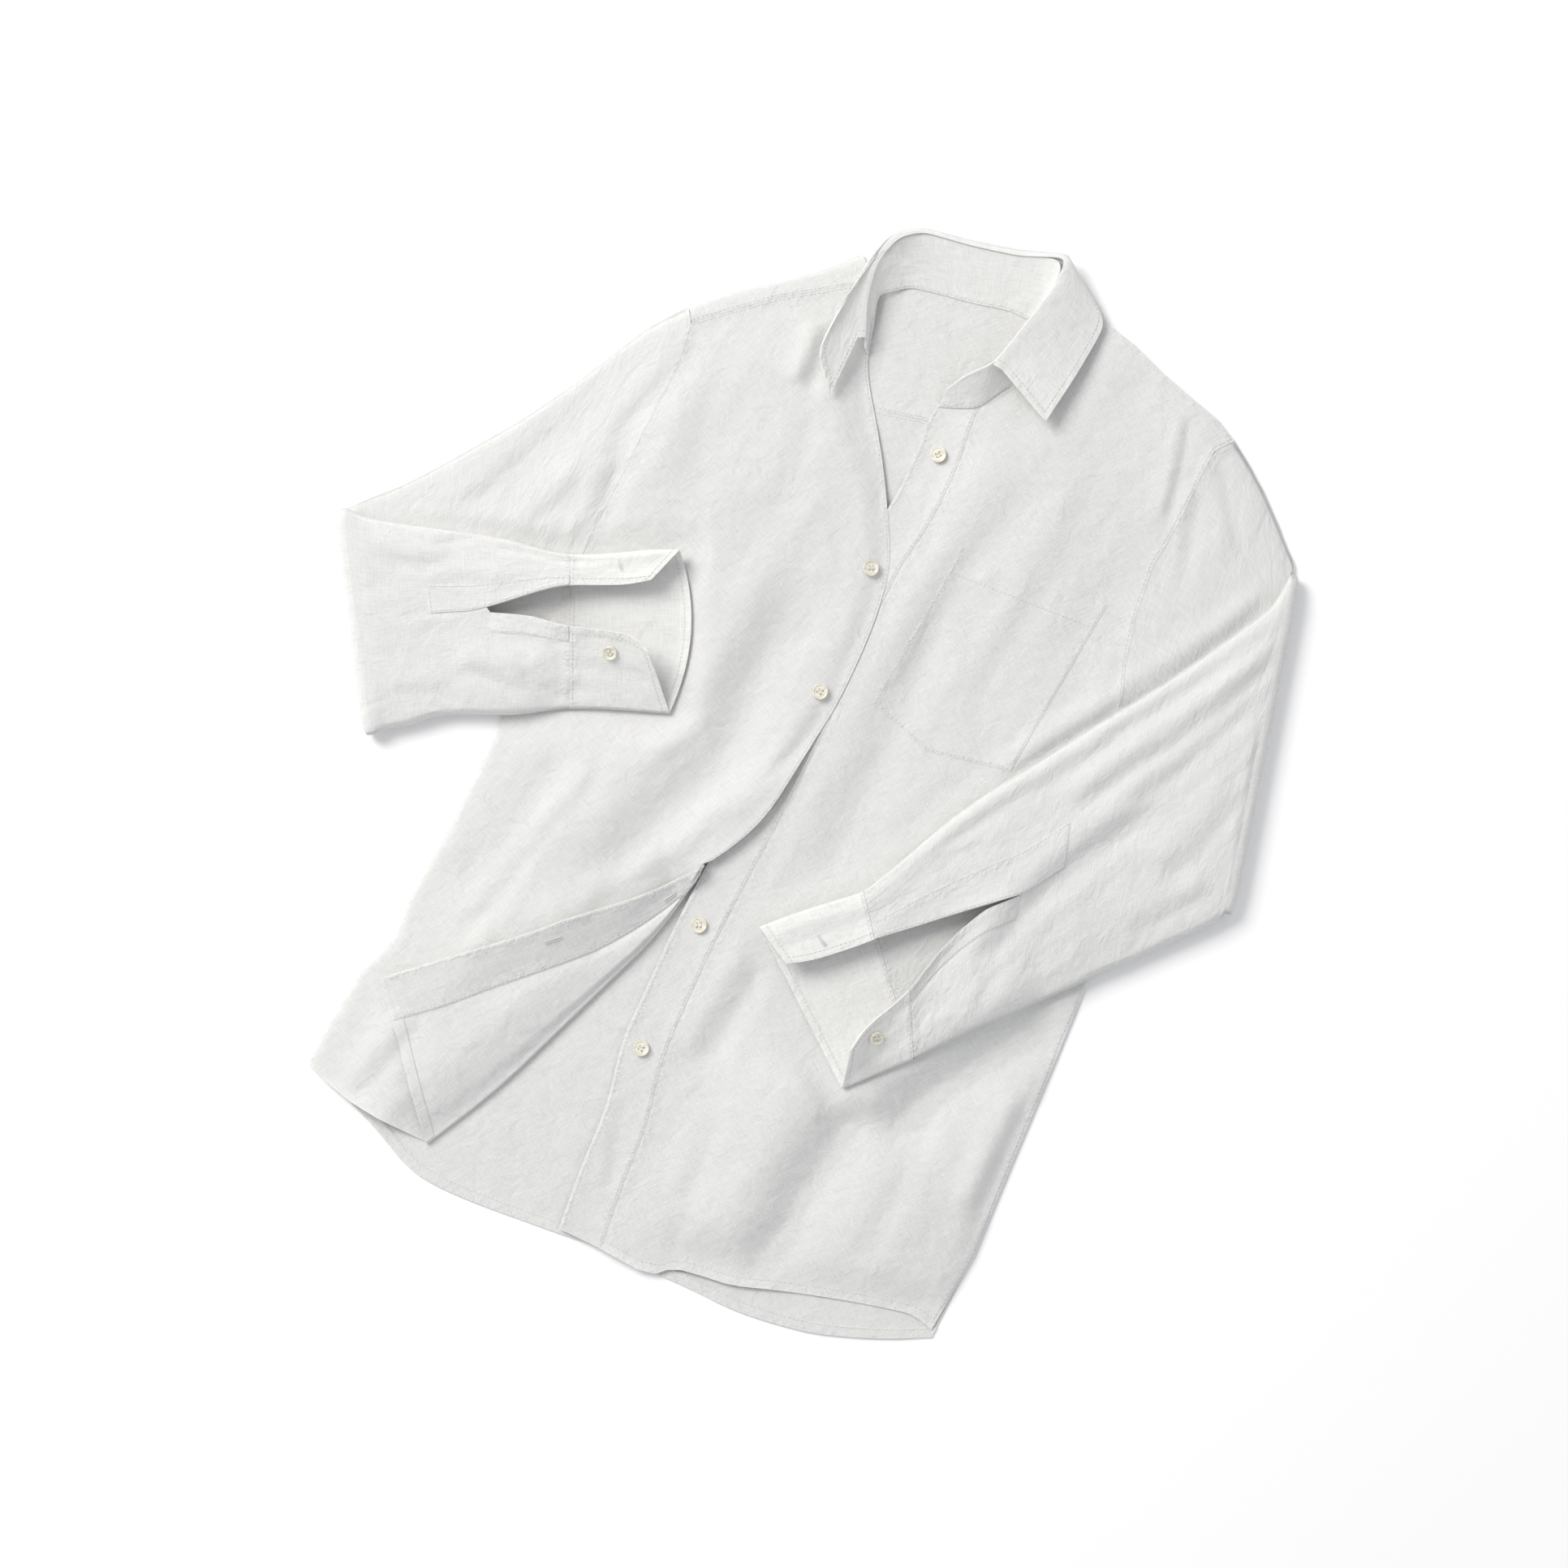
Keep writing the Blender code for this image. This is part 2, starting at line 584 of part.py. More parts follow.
def make_back():
    left = at([BACK_SEAM[0]] + RIGHT_SIDE)
    right = at([BACK_SEAM[-1]] + LEFT_SIDE[:-1] + [BACK_HEM[-1]])
    places = patch(at(BACK_SEAM), at(BACK_HEM), left, right, shares(18), shares(16))
    grid = drawn_in(raised(places, TABLE_Z), ("top",))
    # The armhole's straight part is drawn in from the sleeve's lower layer.
    for row in grid:
        if row[0][1] > at(RIGHT_UNDERARM)[1]:
            row[0][0] += SEAM_GAP / 2
        if row[-1][1] > at(LEFT_UNDERARM)[1]:
            row[-1][0] -= SEAM_GAP / 2
    add_cloth("back", [grid])


def make_yoke():
    """Behind the neck and, turned over at the right shoulder, a strip in front."""
    columns = 12
    seam = along(np.array(BACK_SEAM, float), [0.0, 0.385, 1.0])[1]
    inset = [(x + 1, y + 5) for x, y in YOKE_SHOULDER]
    first = patch(
        at(inset), at(BACK_SEAM[:3] + [tuple(seam)]), at([inset[0], BACK_SEAM[0]]),
        at([inset[-1], tuple(seam)]), shares(columns), shares(4),
    )
    neck = [inset[-1]] + YOKE_NECK[1:] + LEFT_SHOULDER[1:]
    second = patch(
        at(neck), at([tuple(seam)] + BACK_SEAM[3:]), at([inset[-1], tuple(seam)]),
        at([LEFT_SHOULDER[-1], BACK_SEAM[-1]]), shares(22), shares(4),
    )
    outline = along(at(YOKE_SHOULDER), shares(columns))
    strip_seam = along(at(RIGHT_SHOULDER_SEAM), shares(columns))
    fold = raised(outline, (SIDE_Z + TABLE_Z) / 2 + 0.8)
    rows = [raised(first[0], TABLE_Z), fold]
    for share in (0.35, 0.7, 1.0):
        rows.append(raised(outline * (1 - share) + strip_seam * share, right_cloth))
    strip = np.array(rows)[::-1]
    lower = [raised(first, TABLE_Z), raised(second, TABLE_Z)]
    lower[0] = drawn_in(lower[0], ("bottom", "left"))
    lower[1] = drawn_in(lower[1], ("bottom", "right"))
    strip = drawn_in(strip, ("top", "left"))
    strip[-1] = lower[0][0]
    lower[0][:, -1] = lower[1][:, 0]
    strip[-1, -1] = lower[0][0, -1]
    add_cloth("yoke", [lower[0], lower[1], strip])
    return [lower[0], lower[1], strip]


def flap_grids():
    """Grids of the turned-back corner: roll with the cloth up to the band, and band."""
    rows = shares(11)
    fold = along(at(FLAP_FOLD), rows)
    band = along(at(FLAP_BAND), rows)
    edge = along(at(FLAP_EDGE), rows)
    way = np.gradient(fold, axis=0)
    way /= np.linalg.norm(way, axis=1, keepdims=True)
    out = np.stack([-way[:, 1], way[:, 0]], axis=1)
    radius = FLAP_TIP_RADIUS + (FLAP_RADIUS - FLAP_TIP_RADIUS) * smooth(rows / 0.35)
    inner = fold - out * radius[:, None]
    band[0] = edge[0] = inner[0]
    low = right_cloth(inner)
    columns = []
    for angle in (-90, -45, 0, 45, 90):
        turn = math.radians(angle)
        place = inner + out * (radius * math.cos(turn))[:, None]
        tall = low + radius * (1.0 + math.sin(turn))
        columns.append(np.column_stack([place, tall]))
    grow = smooth(rows / 0.3)
    for share, above in ((0.34, 5.5), (0.67, 4.0), (1.0, FLAP_BAND_RISE)):
        place = inner * (1 - share) + band * share
        tall = right_cloth(place) + 2 * radius[0] * (1 - grow) + above * grow
        columns.append(np.column_stack([place, tall]))
    middle = np.stack(columns, axis=1)
    columns = [middle[:, -1]]
    for share, above in ((0.5, 4.6), (1.0, FLAP_EDGE_RISE)):
        place = band * (1 - share) + edge * share
        tall = right_cloth(place) + 2 * radius[0] * (1 - grow) + above * grow
        columns.append(np.column_stack([place, tall]))
    return middle, np.stack(columns, axis=1)


def make_right_front():
    side = at(RIGHT_ARMHOLE + RIGHT_SIDE[1:])
    middle, band = flap_grids()
    step = np.linalg.norm(np.diff(side, axis=0), axis=1).cumsum()
    hole = step[len(RIGHT_ARMHOLE) - 2] / step[-1]
    down = np.concatenate([
        np.linspace(0, hole, 12), np.linspace(hole, FLAP_START, 9)[1:],
    ])
    upper_side = along(side, np.linspace(0, FLAP_START, 60))
    lower_side = along(side, np.linspace(FLAP_START, 1.0, 30))
    inner = middle[:, 0, :2]
    join = np.array([upper_side[-1], inner[0]])
    upper = patch(
        at(RIGHT_SHOULDER_SEAM), join, upper_side, at(RIGHT_NECKLINE + RIGHT_EDGE[1:]),
        shares(13), down / FLAP_START,
    )
    hem = np.vstack([at(RIGHT_HEM[:-1]), inner[-1:]])
    lower = patch(join, hem, lower_side, inner, shares(13), shares(11))
    upper = drawn_in(raised(upper, right_cloth), ("top", "left"))
    lower = raised(lower, right_cloth)
    lower[0] = upper[-1]
    lower[:, -1] = middle[:, 0]
    upper[-1, -1] = middle[0, 0]
    add_cloth("right_front", [upper, lower, middle, band])
    strip = drawn_in(band[3:], ("left", "right", "top", "bottom"), PANEL_INSET)
    add_cloth("right_front_facing", [moved_out(strip)])
    return [upper, lower]


NECK_ROWS = 4  # rows of the left front beside its neckline
ARMHOLE_ROWS = 12  # and from there down to the end of its armhole


def make_left_front():
    side = at(LEFT_ARMHOLE + LEFT_SIDE[1:])
    step = np.linalg.norm(np.diff(side, axis=0), axis=1).cumsum()
    hole = step[len(LEFT_ARMHOLE) - 2] / step[-1]
    # The neckline's steep part is nearly in line with the band, so it is the upper
    # part of the same border. The rows beside the band meet the band's own rows.
    neck, line = at(LEFT_NECK[:5])[::-1], at(LEFT_BAND)
    long, whole = (
        np.linalg.norm(np.diff(part, axis=0), axis=1).sum()
        for part in (neck, np.vstack([neck, line[1:]]))
    )
    beside = long / whole
    rows = np.concatenate([
        np.linspace(0.0, beside, NECK_ROWS + 1)[:-1],
        np.linspace(beside, hole, ARMHOLE_ROWS)[:-1], np.linspace(hole, 1.0, 24),
    ])
    down = (rows[NECK_ROWS:] - beside) / (1.0 - beside)
    band = patch(
        at([LEFT_EDGE[0], LEFT_BAND[0]]), at([LEFT_EDGE[-1], LEFT_BAND[-1]]),
        at(LEFT_EDGE), line, shares(2), down,
    )
    rest = patch(
        at(LEFT_NECK[4:] + LEFT_SHOULDER[1:]), at(LEFT_HEM),
        np.vstack([neck[:-1], line]), side, shares(12), rows,
    )
    band = raised(band, left_cloth)
    rest = raised(rest, left_cloth)
    hole_rows = NECK_ROWS + ARMHOLE_ROWS
    drawn = drawn_in(rest, ("right",))
    rest[:hole_rows, -1] = drawn[:hole_rows, -1]
    add_cloth("left_front", [band, rest])
    strip = drawn_in(band, ("left", "right", "top", "bottom"), PANEL_INSET)
    strip = moved_out(strip)
    add_cloth("left_front_placket", [strip])
    return [band, rest], strip


def make_pocket(panel):
    left, right = at(POCKET_LEFT), at(POCKET_RIGHT)
    point = at(POCKET_POINT)
    u = shares(9)
    v = shares(11)
    grid = np.empty((len(v), len(u), 2))
    meet = 0.45
    for j, down in enumerate(v):
        start = left[0] * (1 - down) + left[1] * down
        end = right[0] * (1 - down) + right[1] * down
        middle = start * (1 - meet) + end * meet
        middle = middle + (point - (left[1] * (1 - meet) + right[1] * meet)) * down**3
        for i, share in enumerate(u):
            if share <= meet:
                grid[j, i] = start + (middle - start) * share / meet
            else:
                grid[j, i] = middle + (end - middle) * (share - meet) / (1 - meet)
    tall = np.array([[rest_height(panel, place) for place in row] for row in grid])
    lying = np.concatenate([grid, tall[..., None]], axis=-1)
    add_cloth("chest_pocket", [moved_out(lying, ON_TOP + 0.2)])


SPLIT_UPPER = 5  # columns from the slit to the upper edge
SPLIT_LOWER = 6  # columns from the lower edge to the slit
SPLIT_INNER = 12  # columns of the other layer


def ring(e0, e1, g1, g2, heights, inner=None, reach=0.0, axis=(0.0, 0.0)):
    """Points round a flattened sleeve: slit, upper edge, other layer, lower edge, slit.

    heights gives the layer with the slit, the other layer and the two edges."""
    slit_z, inner_z, edge_z = heights
    points = []
    for share in np.linspace(0, 1, SPLIT_UPPER + 1)[:-1]:
        points.append(slit_z(g1 * (1 - share) + e0 * share, 1 - share, 0))
    points.append(edge_z(e0))
    for k in range(1, SPLIT_INNER):
        share = k / SPLIT_INNER
        place = inner[k] if inner is not None else e0 * (1 - share) + e1 * share
        bow = 4.0 * share * (1.0 - share) * reach
        points.append(inner_z(place + bow * np.asarray(axis), share))
    points.append(edge_z(e1))
    for share in np.linspace(0, 1, SPLIT_LOWER + 1)[1:]:
        points.append(slit_z(e1 * (1 - share) + g2 * share, share, 1))
    return np.array(points)


def sleeve_rings(upper, elbow, forearm, cuff, cloth, armhole):
    """Rings of a sleeve that lies flat, turns over at the elbow and comes back."""
    rings = []
    out = at(elbow[1]) - at(elbow[0])
    out = np.array([out[1], -out[0]]) / np.linalg.norm(out)
    if np.dot(out, at(elbow[0]) - at(upper[0][0])) < 0:
        out = -out

    def on_table(place, share, flap):
        return (*place, TABLE_Z)

    def raised_cloth(place, share):
        return (*place, float(cloth(place)))

    def low_edge(place):
        return (*place, SIDE_Z + 0.2)

    for number, (first, second) in enumerate(upper):
        e0, e1 = at(first), at(second)
        middle = (e0 + e1) / 2
        inner = armhole if number == 0 else None
        rings.append(ring(
            e0, e1, middle, middle, (on_table, raised_cloth, low_edge), inner,
        ))
    for angle in (-90, -45, 0, 45, 90):
        turn = math.radians(angle)
        e0, e1 = at(elbow[0]), at(elbow[1])

        def turned(place, radius):
            inset = radius * math.cos(turn) - ELBOW_OUTER
            tall = ELBOW_CENTRE_Z + radius * math.sin(turn)
            return (*(place + out * inset), tall)

        middle = (e0 + e1) / 2
        rings.append(ring(
            e0, e1, middle, middle,
            (
                lambda place, share, flap: turned(place, ELBOW_OUTER),
                lambda place, share: turned(place, ELBOW_INNER),
                lambda place: turned(place, (ELBOW_INNER + ELBOW_OUTER) / 2),
            ),
        ))
    bend = len(rings)
    for row in list(forearm) + list(cuff):
        named = dict(zip(RING_COLUMNS, row))
        e0, e1, g1, g2 = (at(named[key]) for key in ("e0", "e1", "g1", "g2"))
        puff, lifts = named["puff"], (named["lift1"], named["lift2"])
        axis = e0 - at(elbow[0]) + e1 - at(elbow[1])
        axis = axis / np.linalg.norm(axis)

        def lower(place, share):
            return (*place, float(cloth(place)) + FOREARM_CLEARANCE)

        def edge(place):
            base = max(float(cloth(place)), CALM_Z - 1.5) + FOREARM_CLEARANCE
            return (*place, base + 0.35 * puff)

        def top(place, share, flap):
            # share is 1 at the slit and 0 at the sleeve's edge.
            near = min(share * 4.0, 1.0)
            full = puff * (0.35 + 0.65 * math.sqrt(1.0 - (1.0 - near) ** 2))
            base = max(float(cloth(place)), CALM_Z) + FOREARM_CLEARANCE
            return (*place, base + full + lifts[flap] * share**1.6)

        rings.append(ring(
            e0, e1, g1, g2, (top, lower, edge),
            reach=named["reach"] * MM_PER_PIXEL, axis=axis,
        ))
    return rings, bend


def make_sleeve(side, upper, elbow, forearm, cuff, cloth, armhole, apex):
    """One sleeve, its two slit bindings and its cuff."""
    rings, bend = sleeve_rings(upper, elbow, forearm, cuff, cloth, armhole)
    rings = np.array(rings)
    # Clear of the body's panels at the armhole, and of the cuff at its seam.
    seam = bend + len(forearm)
    sleeve = drawn_in(drawn_in(rings[:seam], ("top", "bottom")), ("top",))
    for number in range(bend + apex):
        sleeve[number, -1] = sleeve[number, 0]
    add_cloth(f"{side}_sleeve", [sleeve])
    end = rings[seam - 1:seam]
    cuff_grid = drawn_in(np.vstack([end, rings[seam:]]), ("top",))
    add_cloth(f"{side}_cuff", [cuff_grid])
    flap = sleeve[bend + apex + 1:, :3]
    add_cloth(f"{side}_sleeve_placket", [outward(flap)])
    under = sleeve[bend + apex + 1:, -2:]
    add_cloth(f"{side}_sleeve_underlap", [outward(under)])
    return cuff_grid


def outward(grid):
    grid = drawn_in(grid, ("top", "bottom"), 1.0)
    return moved_out(drawn_in(grid, ("left", "right"), 0.8))


def make_sleeves():
    right_hole = np.vstack([
        at((848, 377)), along(at(RIGHT_ARMHOLE), np.linspace(0, 1, 12)),
    ])
    left_hole = along(at(LEFT_ARMHOLE), np.linspace(0, 1, 13))
    right = make_sleeve(
        "right", RIGHT_UPPER_ARM, RIGHT_ELBOW, RIGHT_FOREARM, RIGHT_CUFF,
        right_cloth, right_hole, 5,
    )
    left = make_sleeve(
        "left", LEFT_UPPER_ARM, LEFT_ELBOW, LEFT_FOREARM, LEFT_CUFF,
        left_cloth, left_hole, 7,
    )
    return right, left


def make_collar(panels):
    rows = [STAND_RIGHT_END + ((0, 0, 0),) * 2] + COLLAR
    rows += [row + ((0, 0, 0),) * 2 for row in STAND_LEFT_END]
    finer = np.linspace(0, 1, 3 * (len(rows) - 1) + 1)
    places = np.array([at(row[0]) for row in rows])
    tall = np.array([[rest_height(panels, place, AROUND)] for place in places])
    places, tall = spread(places, finer), spread(tall, finer)[:, 0]
    tall = [
        max(here, rest_height(panels, place, AROUND)) + ON_TOP
        for here, place in zip(tall, places)
    ]
    feet = np.column_stack([places, tall])
    ridges = np.array([[*at(row[1][:2]), row[1][2]] for row in rows])
    ridges = spread(ridges, finer)
    tops = ridges - [0, 0, STAND_TOP_DROP]
    stand = np.stack([feet * (1 - s) + tops * s for s in (0, 0.35, 0.7, 1)], axis=1)
    add_cloth("collar_stand", [stand])
    finer = np.linspace(0, 1, 3 * (len(COLLAR) - 1) + 1)
    lines = []
    for key in ("ridge", "roll", "edge"):
        column = COLLAR_COLUMNS.index(key)
        points = [[*at(row[column][:2]), row[column][2]] for row in COLLAR]
        lines.append(spread(np.array(points), finer))
    ridge, roll, edge = lines
    ridge = ridge + [0, 0, COLLAR_FALL_LIFT]
    columns = [ridge, roll]
    for share in (0.3, 0.65, 1.0):
        columns.append(roll * (1 - share) + edge * share)
    add_cloth("collar_fall", [np.stack(columns, axis=1)])


def spread(points, finer):
    """More points on a curve through the given ones, at even steps of their count."""
    places = np.linspace(0, 1, len(points))
    return np.stack([np.interp(finer, places, axis) for axis in points.T], axis=-1)


def add_button(name, point, surface_height, diameter, more=0.0):
    """A round button with a raised rim, resting on the cloth at a picture point."""
    centre = at(point)
    radius = diameter / 2
    step = 2.0
    east = surface_height(centre + [step, 0]) - surface_height(centre - [step, 0])
    north = surface_height(centre + [0, step]) - surface_height(centre - [0, step])
    normal = np.array([-east / (2 * step), -north / (2 * step), 1.0])
    normal /= np.linalg.norm(normal)
    first = np.cross([0.0, 1.0, 0.0], normal)
    first /= np.linalg.norm(first)
    second = np.cross(normal, first)
    base = CLOTH / 2 + LAYER_GAP + more
    thick = BUTTON_THICKNESS
    profile = [
        (0.86 * radius, 0.0), (radius, 0.35 * thick), (0.95 * radius, 0.85 * thick),
        (0.84 * radius, thick), (0.66 * radius, 0.72 * thick),
    ]
    origin = np.array([*centre, float(surface_height(centre))])
    points, faces, count = [], [], 16
    for out, up in profile:
        for k in range(count):
            turn = 2 * math.pi * k / count
            spoke = first * math.cos(turn) + second * math.sin(turn)
            points.append(origin + spoke * out + normal * (base + up))
    for level in range(len(profile) - 1):
        for k in range(count):
            a, b = level * count + k, level * count + (k + 1) % count
            faces.append((a, b, b + count, a + count))
    faces.append(tuple(range(count))[::-1])
    last = (len(profile) - 1) * count
    faces.append(tuple(range(last, last + count)))
    add_object(name, points, faces, material(name, SHELL_COLOUR, 0.3))


FRONT_BUTTONS = [
    ("front_button_1", (1157, 560), "placket"),
    ("front_button_2", (1072, 700), "right"),
    ("front_button_3", (1010, 852), "right"),
    ("front_button_4", (938, 996), "placket"),
    ("front_button_5", (861, 1140), "placket"),
    ("front_button_6", (790, 1292), "placket"),
]


def make_buttons(right, left):
    for name, point, place in FRONT_BUTTONS:
        if place == "right":
            add_button(name, point, right_cloth, BUTTON_DIAMETER)
        else:
            add_button(name, point, left_cloth, BUTTON_DIAMETER, ON_TOP)
    for name, point, cuff in (
        ("right_cuff_button", (752, 804), right),
        ("left_cuff_button", (1078, 1277), left),
    ):
        flap = [cuff[:, -SPLIT_LOWER - 1:]]
        add_button(
            name, point, lambda place: rest_height(flap, place), CUFF_BUTTON_DIAMETER, 0.5,
        )


def main():
    for item in list(bpy.data.objects):
        bpy.data.objects.remove(item)
    make_back()
    yoke = make_yoke()
    right_front = make_right_front()
    left_front, placket = make_left_front()
    make_pocket(left_front)
    right, left = make_sleeves()
    make_collar(yoke + right_front + left_front + [placket])
    make_buttons(right, left)


main()
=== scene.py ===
import math

import bmesh
import bpy
import mathutils
import numpy as np
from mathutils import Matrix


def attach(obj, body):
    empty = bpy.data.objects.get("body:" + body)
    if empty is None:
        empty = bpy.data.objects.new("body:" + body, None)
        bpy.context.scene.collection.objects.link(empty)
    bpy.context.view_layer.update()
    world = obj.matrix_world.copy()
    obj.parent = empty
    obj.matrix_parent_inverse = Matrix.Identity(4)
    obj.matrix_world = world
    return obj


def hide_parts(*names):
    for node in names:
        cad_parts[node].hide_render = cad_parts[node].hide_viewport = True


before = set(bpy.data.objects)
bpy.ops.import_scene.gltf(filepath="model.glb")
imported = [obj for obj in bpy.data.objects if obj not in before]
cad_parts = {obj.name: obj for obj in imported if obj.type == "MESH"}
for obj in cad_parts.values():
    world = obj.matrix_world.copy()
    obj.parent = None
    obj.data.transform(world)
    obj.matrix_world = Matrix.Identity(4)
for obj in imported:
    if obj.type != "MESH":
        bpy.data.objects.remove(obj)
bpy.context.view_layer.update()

bl_info = {
    "name": "Crumpled Shirt",
    "version": (1, 0, 0),
    "blender": (4, 5, 0),
    "location": "View3D > Sidebar > Shirt",
    "description": "Dresses a crumpled shirt in fine cloth, sewing and shell buttons",
    "category": "Object",
}

# Sizes that the part's solids share, in millimetres.
CLOTH = 1.2  # wall of the solids, whose middle surface the fine cloth keeps
SEAM_GAP = 0.04  # between two panels that are sewn edge to edge
LAYER_GAP = 0.4  # between two solid walls that lie on each other
TABLE_Z = CLOTH / 2  # middle surface of cloth that lies on the table
ON_TOP = CLOTH + LAYER_GAP  # from one middle surface to the next one on it
SIDE_Z = TABLE_Z + ON_TOP  # middle surface of a front where it is sewn to the back

# Outline points are written in the pixels of the picture the shirt is made from.
# PICTURE_ORIGIN is over the object's origin and PICTURE_MIDDLE is in the middle of
# the frame, which is PICTURE_SIDE pixels wide.
MM_PER_PIXEL = 0.6
PICTURE_ORIGIN = (987.9, 965.5)
PICTURE_MIDDLE = (966.0, 966.0)
PICTURE_SIDE = 1932

# Heights of the cloth's middle surface, in millimetres.
CALM_Z = 7.0  # upper cloth where a folded sleeve hides it
LEFT_BASE = 5.0
RIGHT_BASE = 10.0
SLEEVE_BASE = 7.5
# A front falls softly towards its side seam and rolls down at the seam itself: the
# roll's width and its share of the whole fall.
RIGHT_ROLL = (9.0, 0.3)
LEFT_ROLL = (18.0, 0.75)
SIDE_FALL = 70.0
HIDDEN_MARGIN = 28.0  # over which the upper cloth calms down towards a forearm
FOREARM_CLEARANCE = 3.4  # forearm's lower layer above the cloth it lies on
NECK_EDGE_Z = 1.9  # right front's free edge beside the neck, above the table
NECK_EDGE_REACH = 38.0  # over which it comes down to that
LAPPED_LIFT = 1.1  # right front's free edge above the left front, lower down
LAPPED_EDGE_REACH = 20.0
FOLD_Z = 2.4  # right front's cloth at the turned-back corner's fold
FOLD_REACH = 42.0  # over which it comes down to that
HEM_Z = 2.4  # left front's hem near the side seam, above the table
HEM_REACH = 32.0  # over which the front comes down to it

# Elbow fold: the sleeve turns over itself, the inner layer round the smaller radius.
ELBOW_INNER = 2.2
ELBOW_OUTER = 8.5
ELBOW_CENTRE_Z = TABLE_Z + ELBOW_OUTER
ELBOW_RINGS = 15
UPPER_ARM_EDGE_Z = SIDE_Z + 0.2  # the upper arm's two edges, above the table

SEWN_ON = 0.7  # from a panel's middle surface to that of a strip sewn flat on it
PANEL_INSET = 0.5  # such a strip ends this far inside the panel's border
PRESSED_WIDTH = 5.0  # over which a strip is pressed into the panel at its stitches
PRESSED_LIFT = 0.32  # from the panel's middle surface to the strip's border there

# Spacing of the fine cloth's points, in millimetres.
FRONT_CELL = 2.8
SLEEVE_CELL = 2.6
HIDDEN_CELL = 5.0

# Shares that give a sleeve's rings their round section.
BACK_ROUND = 0.08  # share of the back layer that rolls up to each edge
ARMHOLE_FADE = 2.0  # table rows over which the armhole's curve fades down the sleeve
SLIT_POWER = 1.6  # how steeply a flap rises to its slit edge
OPEN_LIFT = 8.0  # height of the lower slit edge (mm) where the cuff's shape is reached
EDGE_SHARE = 0.35  # how high a forearm's edges are, as a share of its fullness
UPPER_EDGE_SHARE = 0.85  # the same near the cuff, for the edge above the slit
LOWER_EDGE_SHARE = 0.05  # and for the edge below it
SLIT_ROUND = 0.25  # share of a sleeve's flap that rolls down to the sleeve's edge
UPPER_ROUND = 0.35  # the same on the forearm, for the flap on the slit's upper side
LOWER_ROUND = 0.65  # and for the one on its lower side

# Outline points, picture pixels: (across, down).
RIGHT_ARMHOLE = [
    (852, 396), (845, 425), (833, 455), (810, 500), (775, 570), (735, 645), (690, 740),
]
RIGHT_SIDE = [
    (690, 740), (655, 810), (620, 882), (590, 945), (560, 1005), (530, 1060),
    (505, 1105), (485, 1155), (440, 1200), (405, 1260), (377, 1310),
]
RIGHT_SHOULDER_SEAM = [(852, 396), (960, 365), (1005, 358), (1045, 351), (1083, 350)]
RIGHT_NECKLINE = [(1083, 350), (1079, 390), (1071, 432)]
RIGHT_EDGE = [
    (1071, 432), (1069, 450), (1072, 480), (1080, 520), (1088, 570), (1094, 630),
    (1097, 680), (1094, 710), (1083, 750), (1068, 790), (1050, 830), (1030, 870),
    (1005, 910), (980, 950), (955, 990), (930, 1020), (900, 1045), (868, 1066),
]
FLAP_FOLD = [
    (868, 1066), (835, 1118), (800, 1162), (755, 1205), (690, 1268), (610, 1345),
    (525, 1410),
]
FLAP_EDGE = [
    (868, 1066), (840, 1080), (800, 1100), (750, 1116), (700, 1131), (650, 1150),
    (600, 1165), (550, 1180), (500, 1195), (470, 1205),
]
FLAP_BAND = [
    (868, 1068), (850, 1098), (800, 1135), (740, 1170), (700, 1185), (650, 1203),
    (600, 1220), (550, 1240), (485, 1258),
]
RIGHT_HEM = [(377, 1310), (400, 1333), (430, 1357), (465, 1378), (525, 1410)]

LEFT_NECK = [
    (1207, 500), (1245, 478), (1272, 445), (1284, 415), (1292, 396), (1330, 388),
    (1365, 397),
]
LEFT_SHOULDER = [
    (1365, 397), (1400, 425), (1430, 455), (1470, 490), (1500, 515), (1522, 543),
]
LEFT_ARMHOLE = [
    (1522, 543), (1497, 556), (1482, 585), (1470, 610), (1450, 650), (1421, 699),
    (1400, 760), (1387, 820), (1380, 900), (1385, 960),
]
LEFT_SIDE = [
    (1385, 960), (1370, 1080), (1345, 1200), (1300, 1310), (1245, 1440),
    (1200, 1550), (1148, 1640),
]
LEFT_EDGE = [
    (1155, 497), (1143, 518), (1133, 549), (1100, 620), (1049, 688), (987, 840),
    (917, 978), (837, 1128), (800, 1210), (767, 1280), (755, 1330), (745, 1370),
    (715, 1440), (688, 1515),
]
LEFT_BAND = [
    (1207, 500), (1194, 532), (1182, 572), (1150, 640), (1100, 712), (1038, 858),
    (966, 1000), (886, 1150), (848, 1232), (820, 1296), (806, 1346), (797, 1388),
    (768, 1458), (740, 1540),
]
LEFT_HEM = [
    (740, 1540), (800, 1573), (830, 1563), (870, 1575), (900, 1585), (950, 1590),
    (1000, 1597), (1050, 1605), (1100, 1615), (1125, 1621), (1148, 1640),
]

BACK_SEAM = [
    (820, 440), (950, 470), (1070, 502), (1142, 517), (1250, 553), (1360, 592),
    (1490, 640),
]
BACK_HEM = [
    (377, 1310), (400, 1335), (430, 1360), (460, 1390), (500, 1440), (540, 1465),
    (600, 1490), (690, 1522), (735, 1538), (780, 1562), (810, 1572), (850, 1590),
    (900, 1615), (950, 1632), (1000, 1645), (1050, 1650), (1100, 1652), (1148, 1650),
]
YOKE_SHOULDER = [
    (849, 377), (900, 360), (950, 348), (1000, 336), (1030, 326), (1062, 312),
]
YOKE_NECK = [
    (1062, 312), (1084, 334), (1108, 345), (1130, 347), (1160, 357), (1200, 368),
    (1245, 377), (1280, 391), (1330, 388), (1365, 397),
]

POCKET_LEFT = [(1185, 675), (1075, 865)]
POCKET_RIGHT = [(1365, 745), (1245, 950)]
POCKET_POINT = (1142, 925)

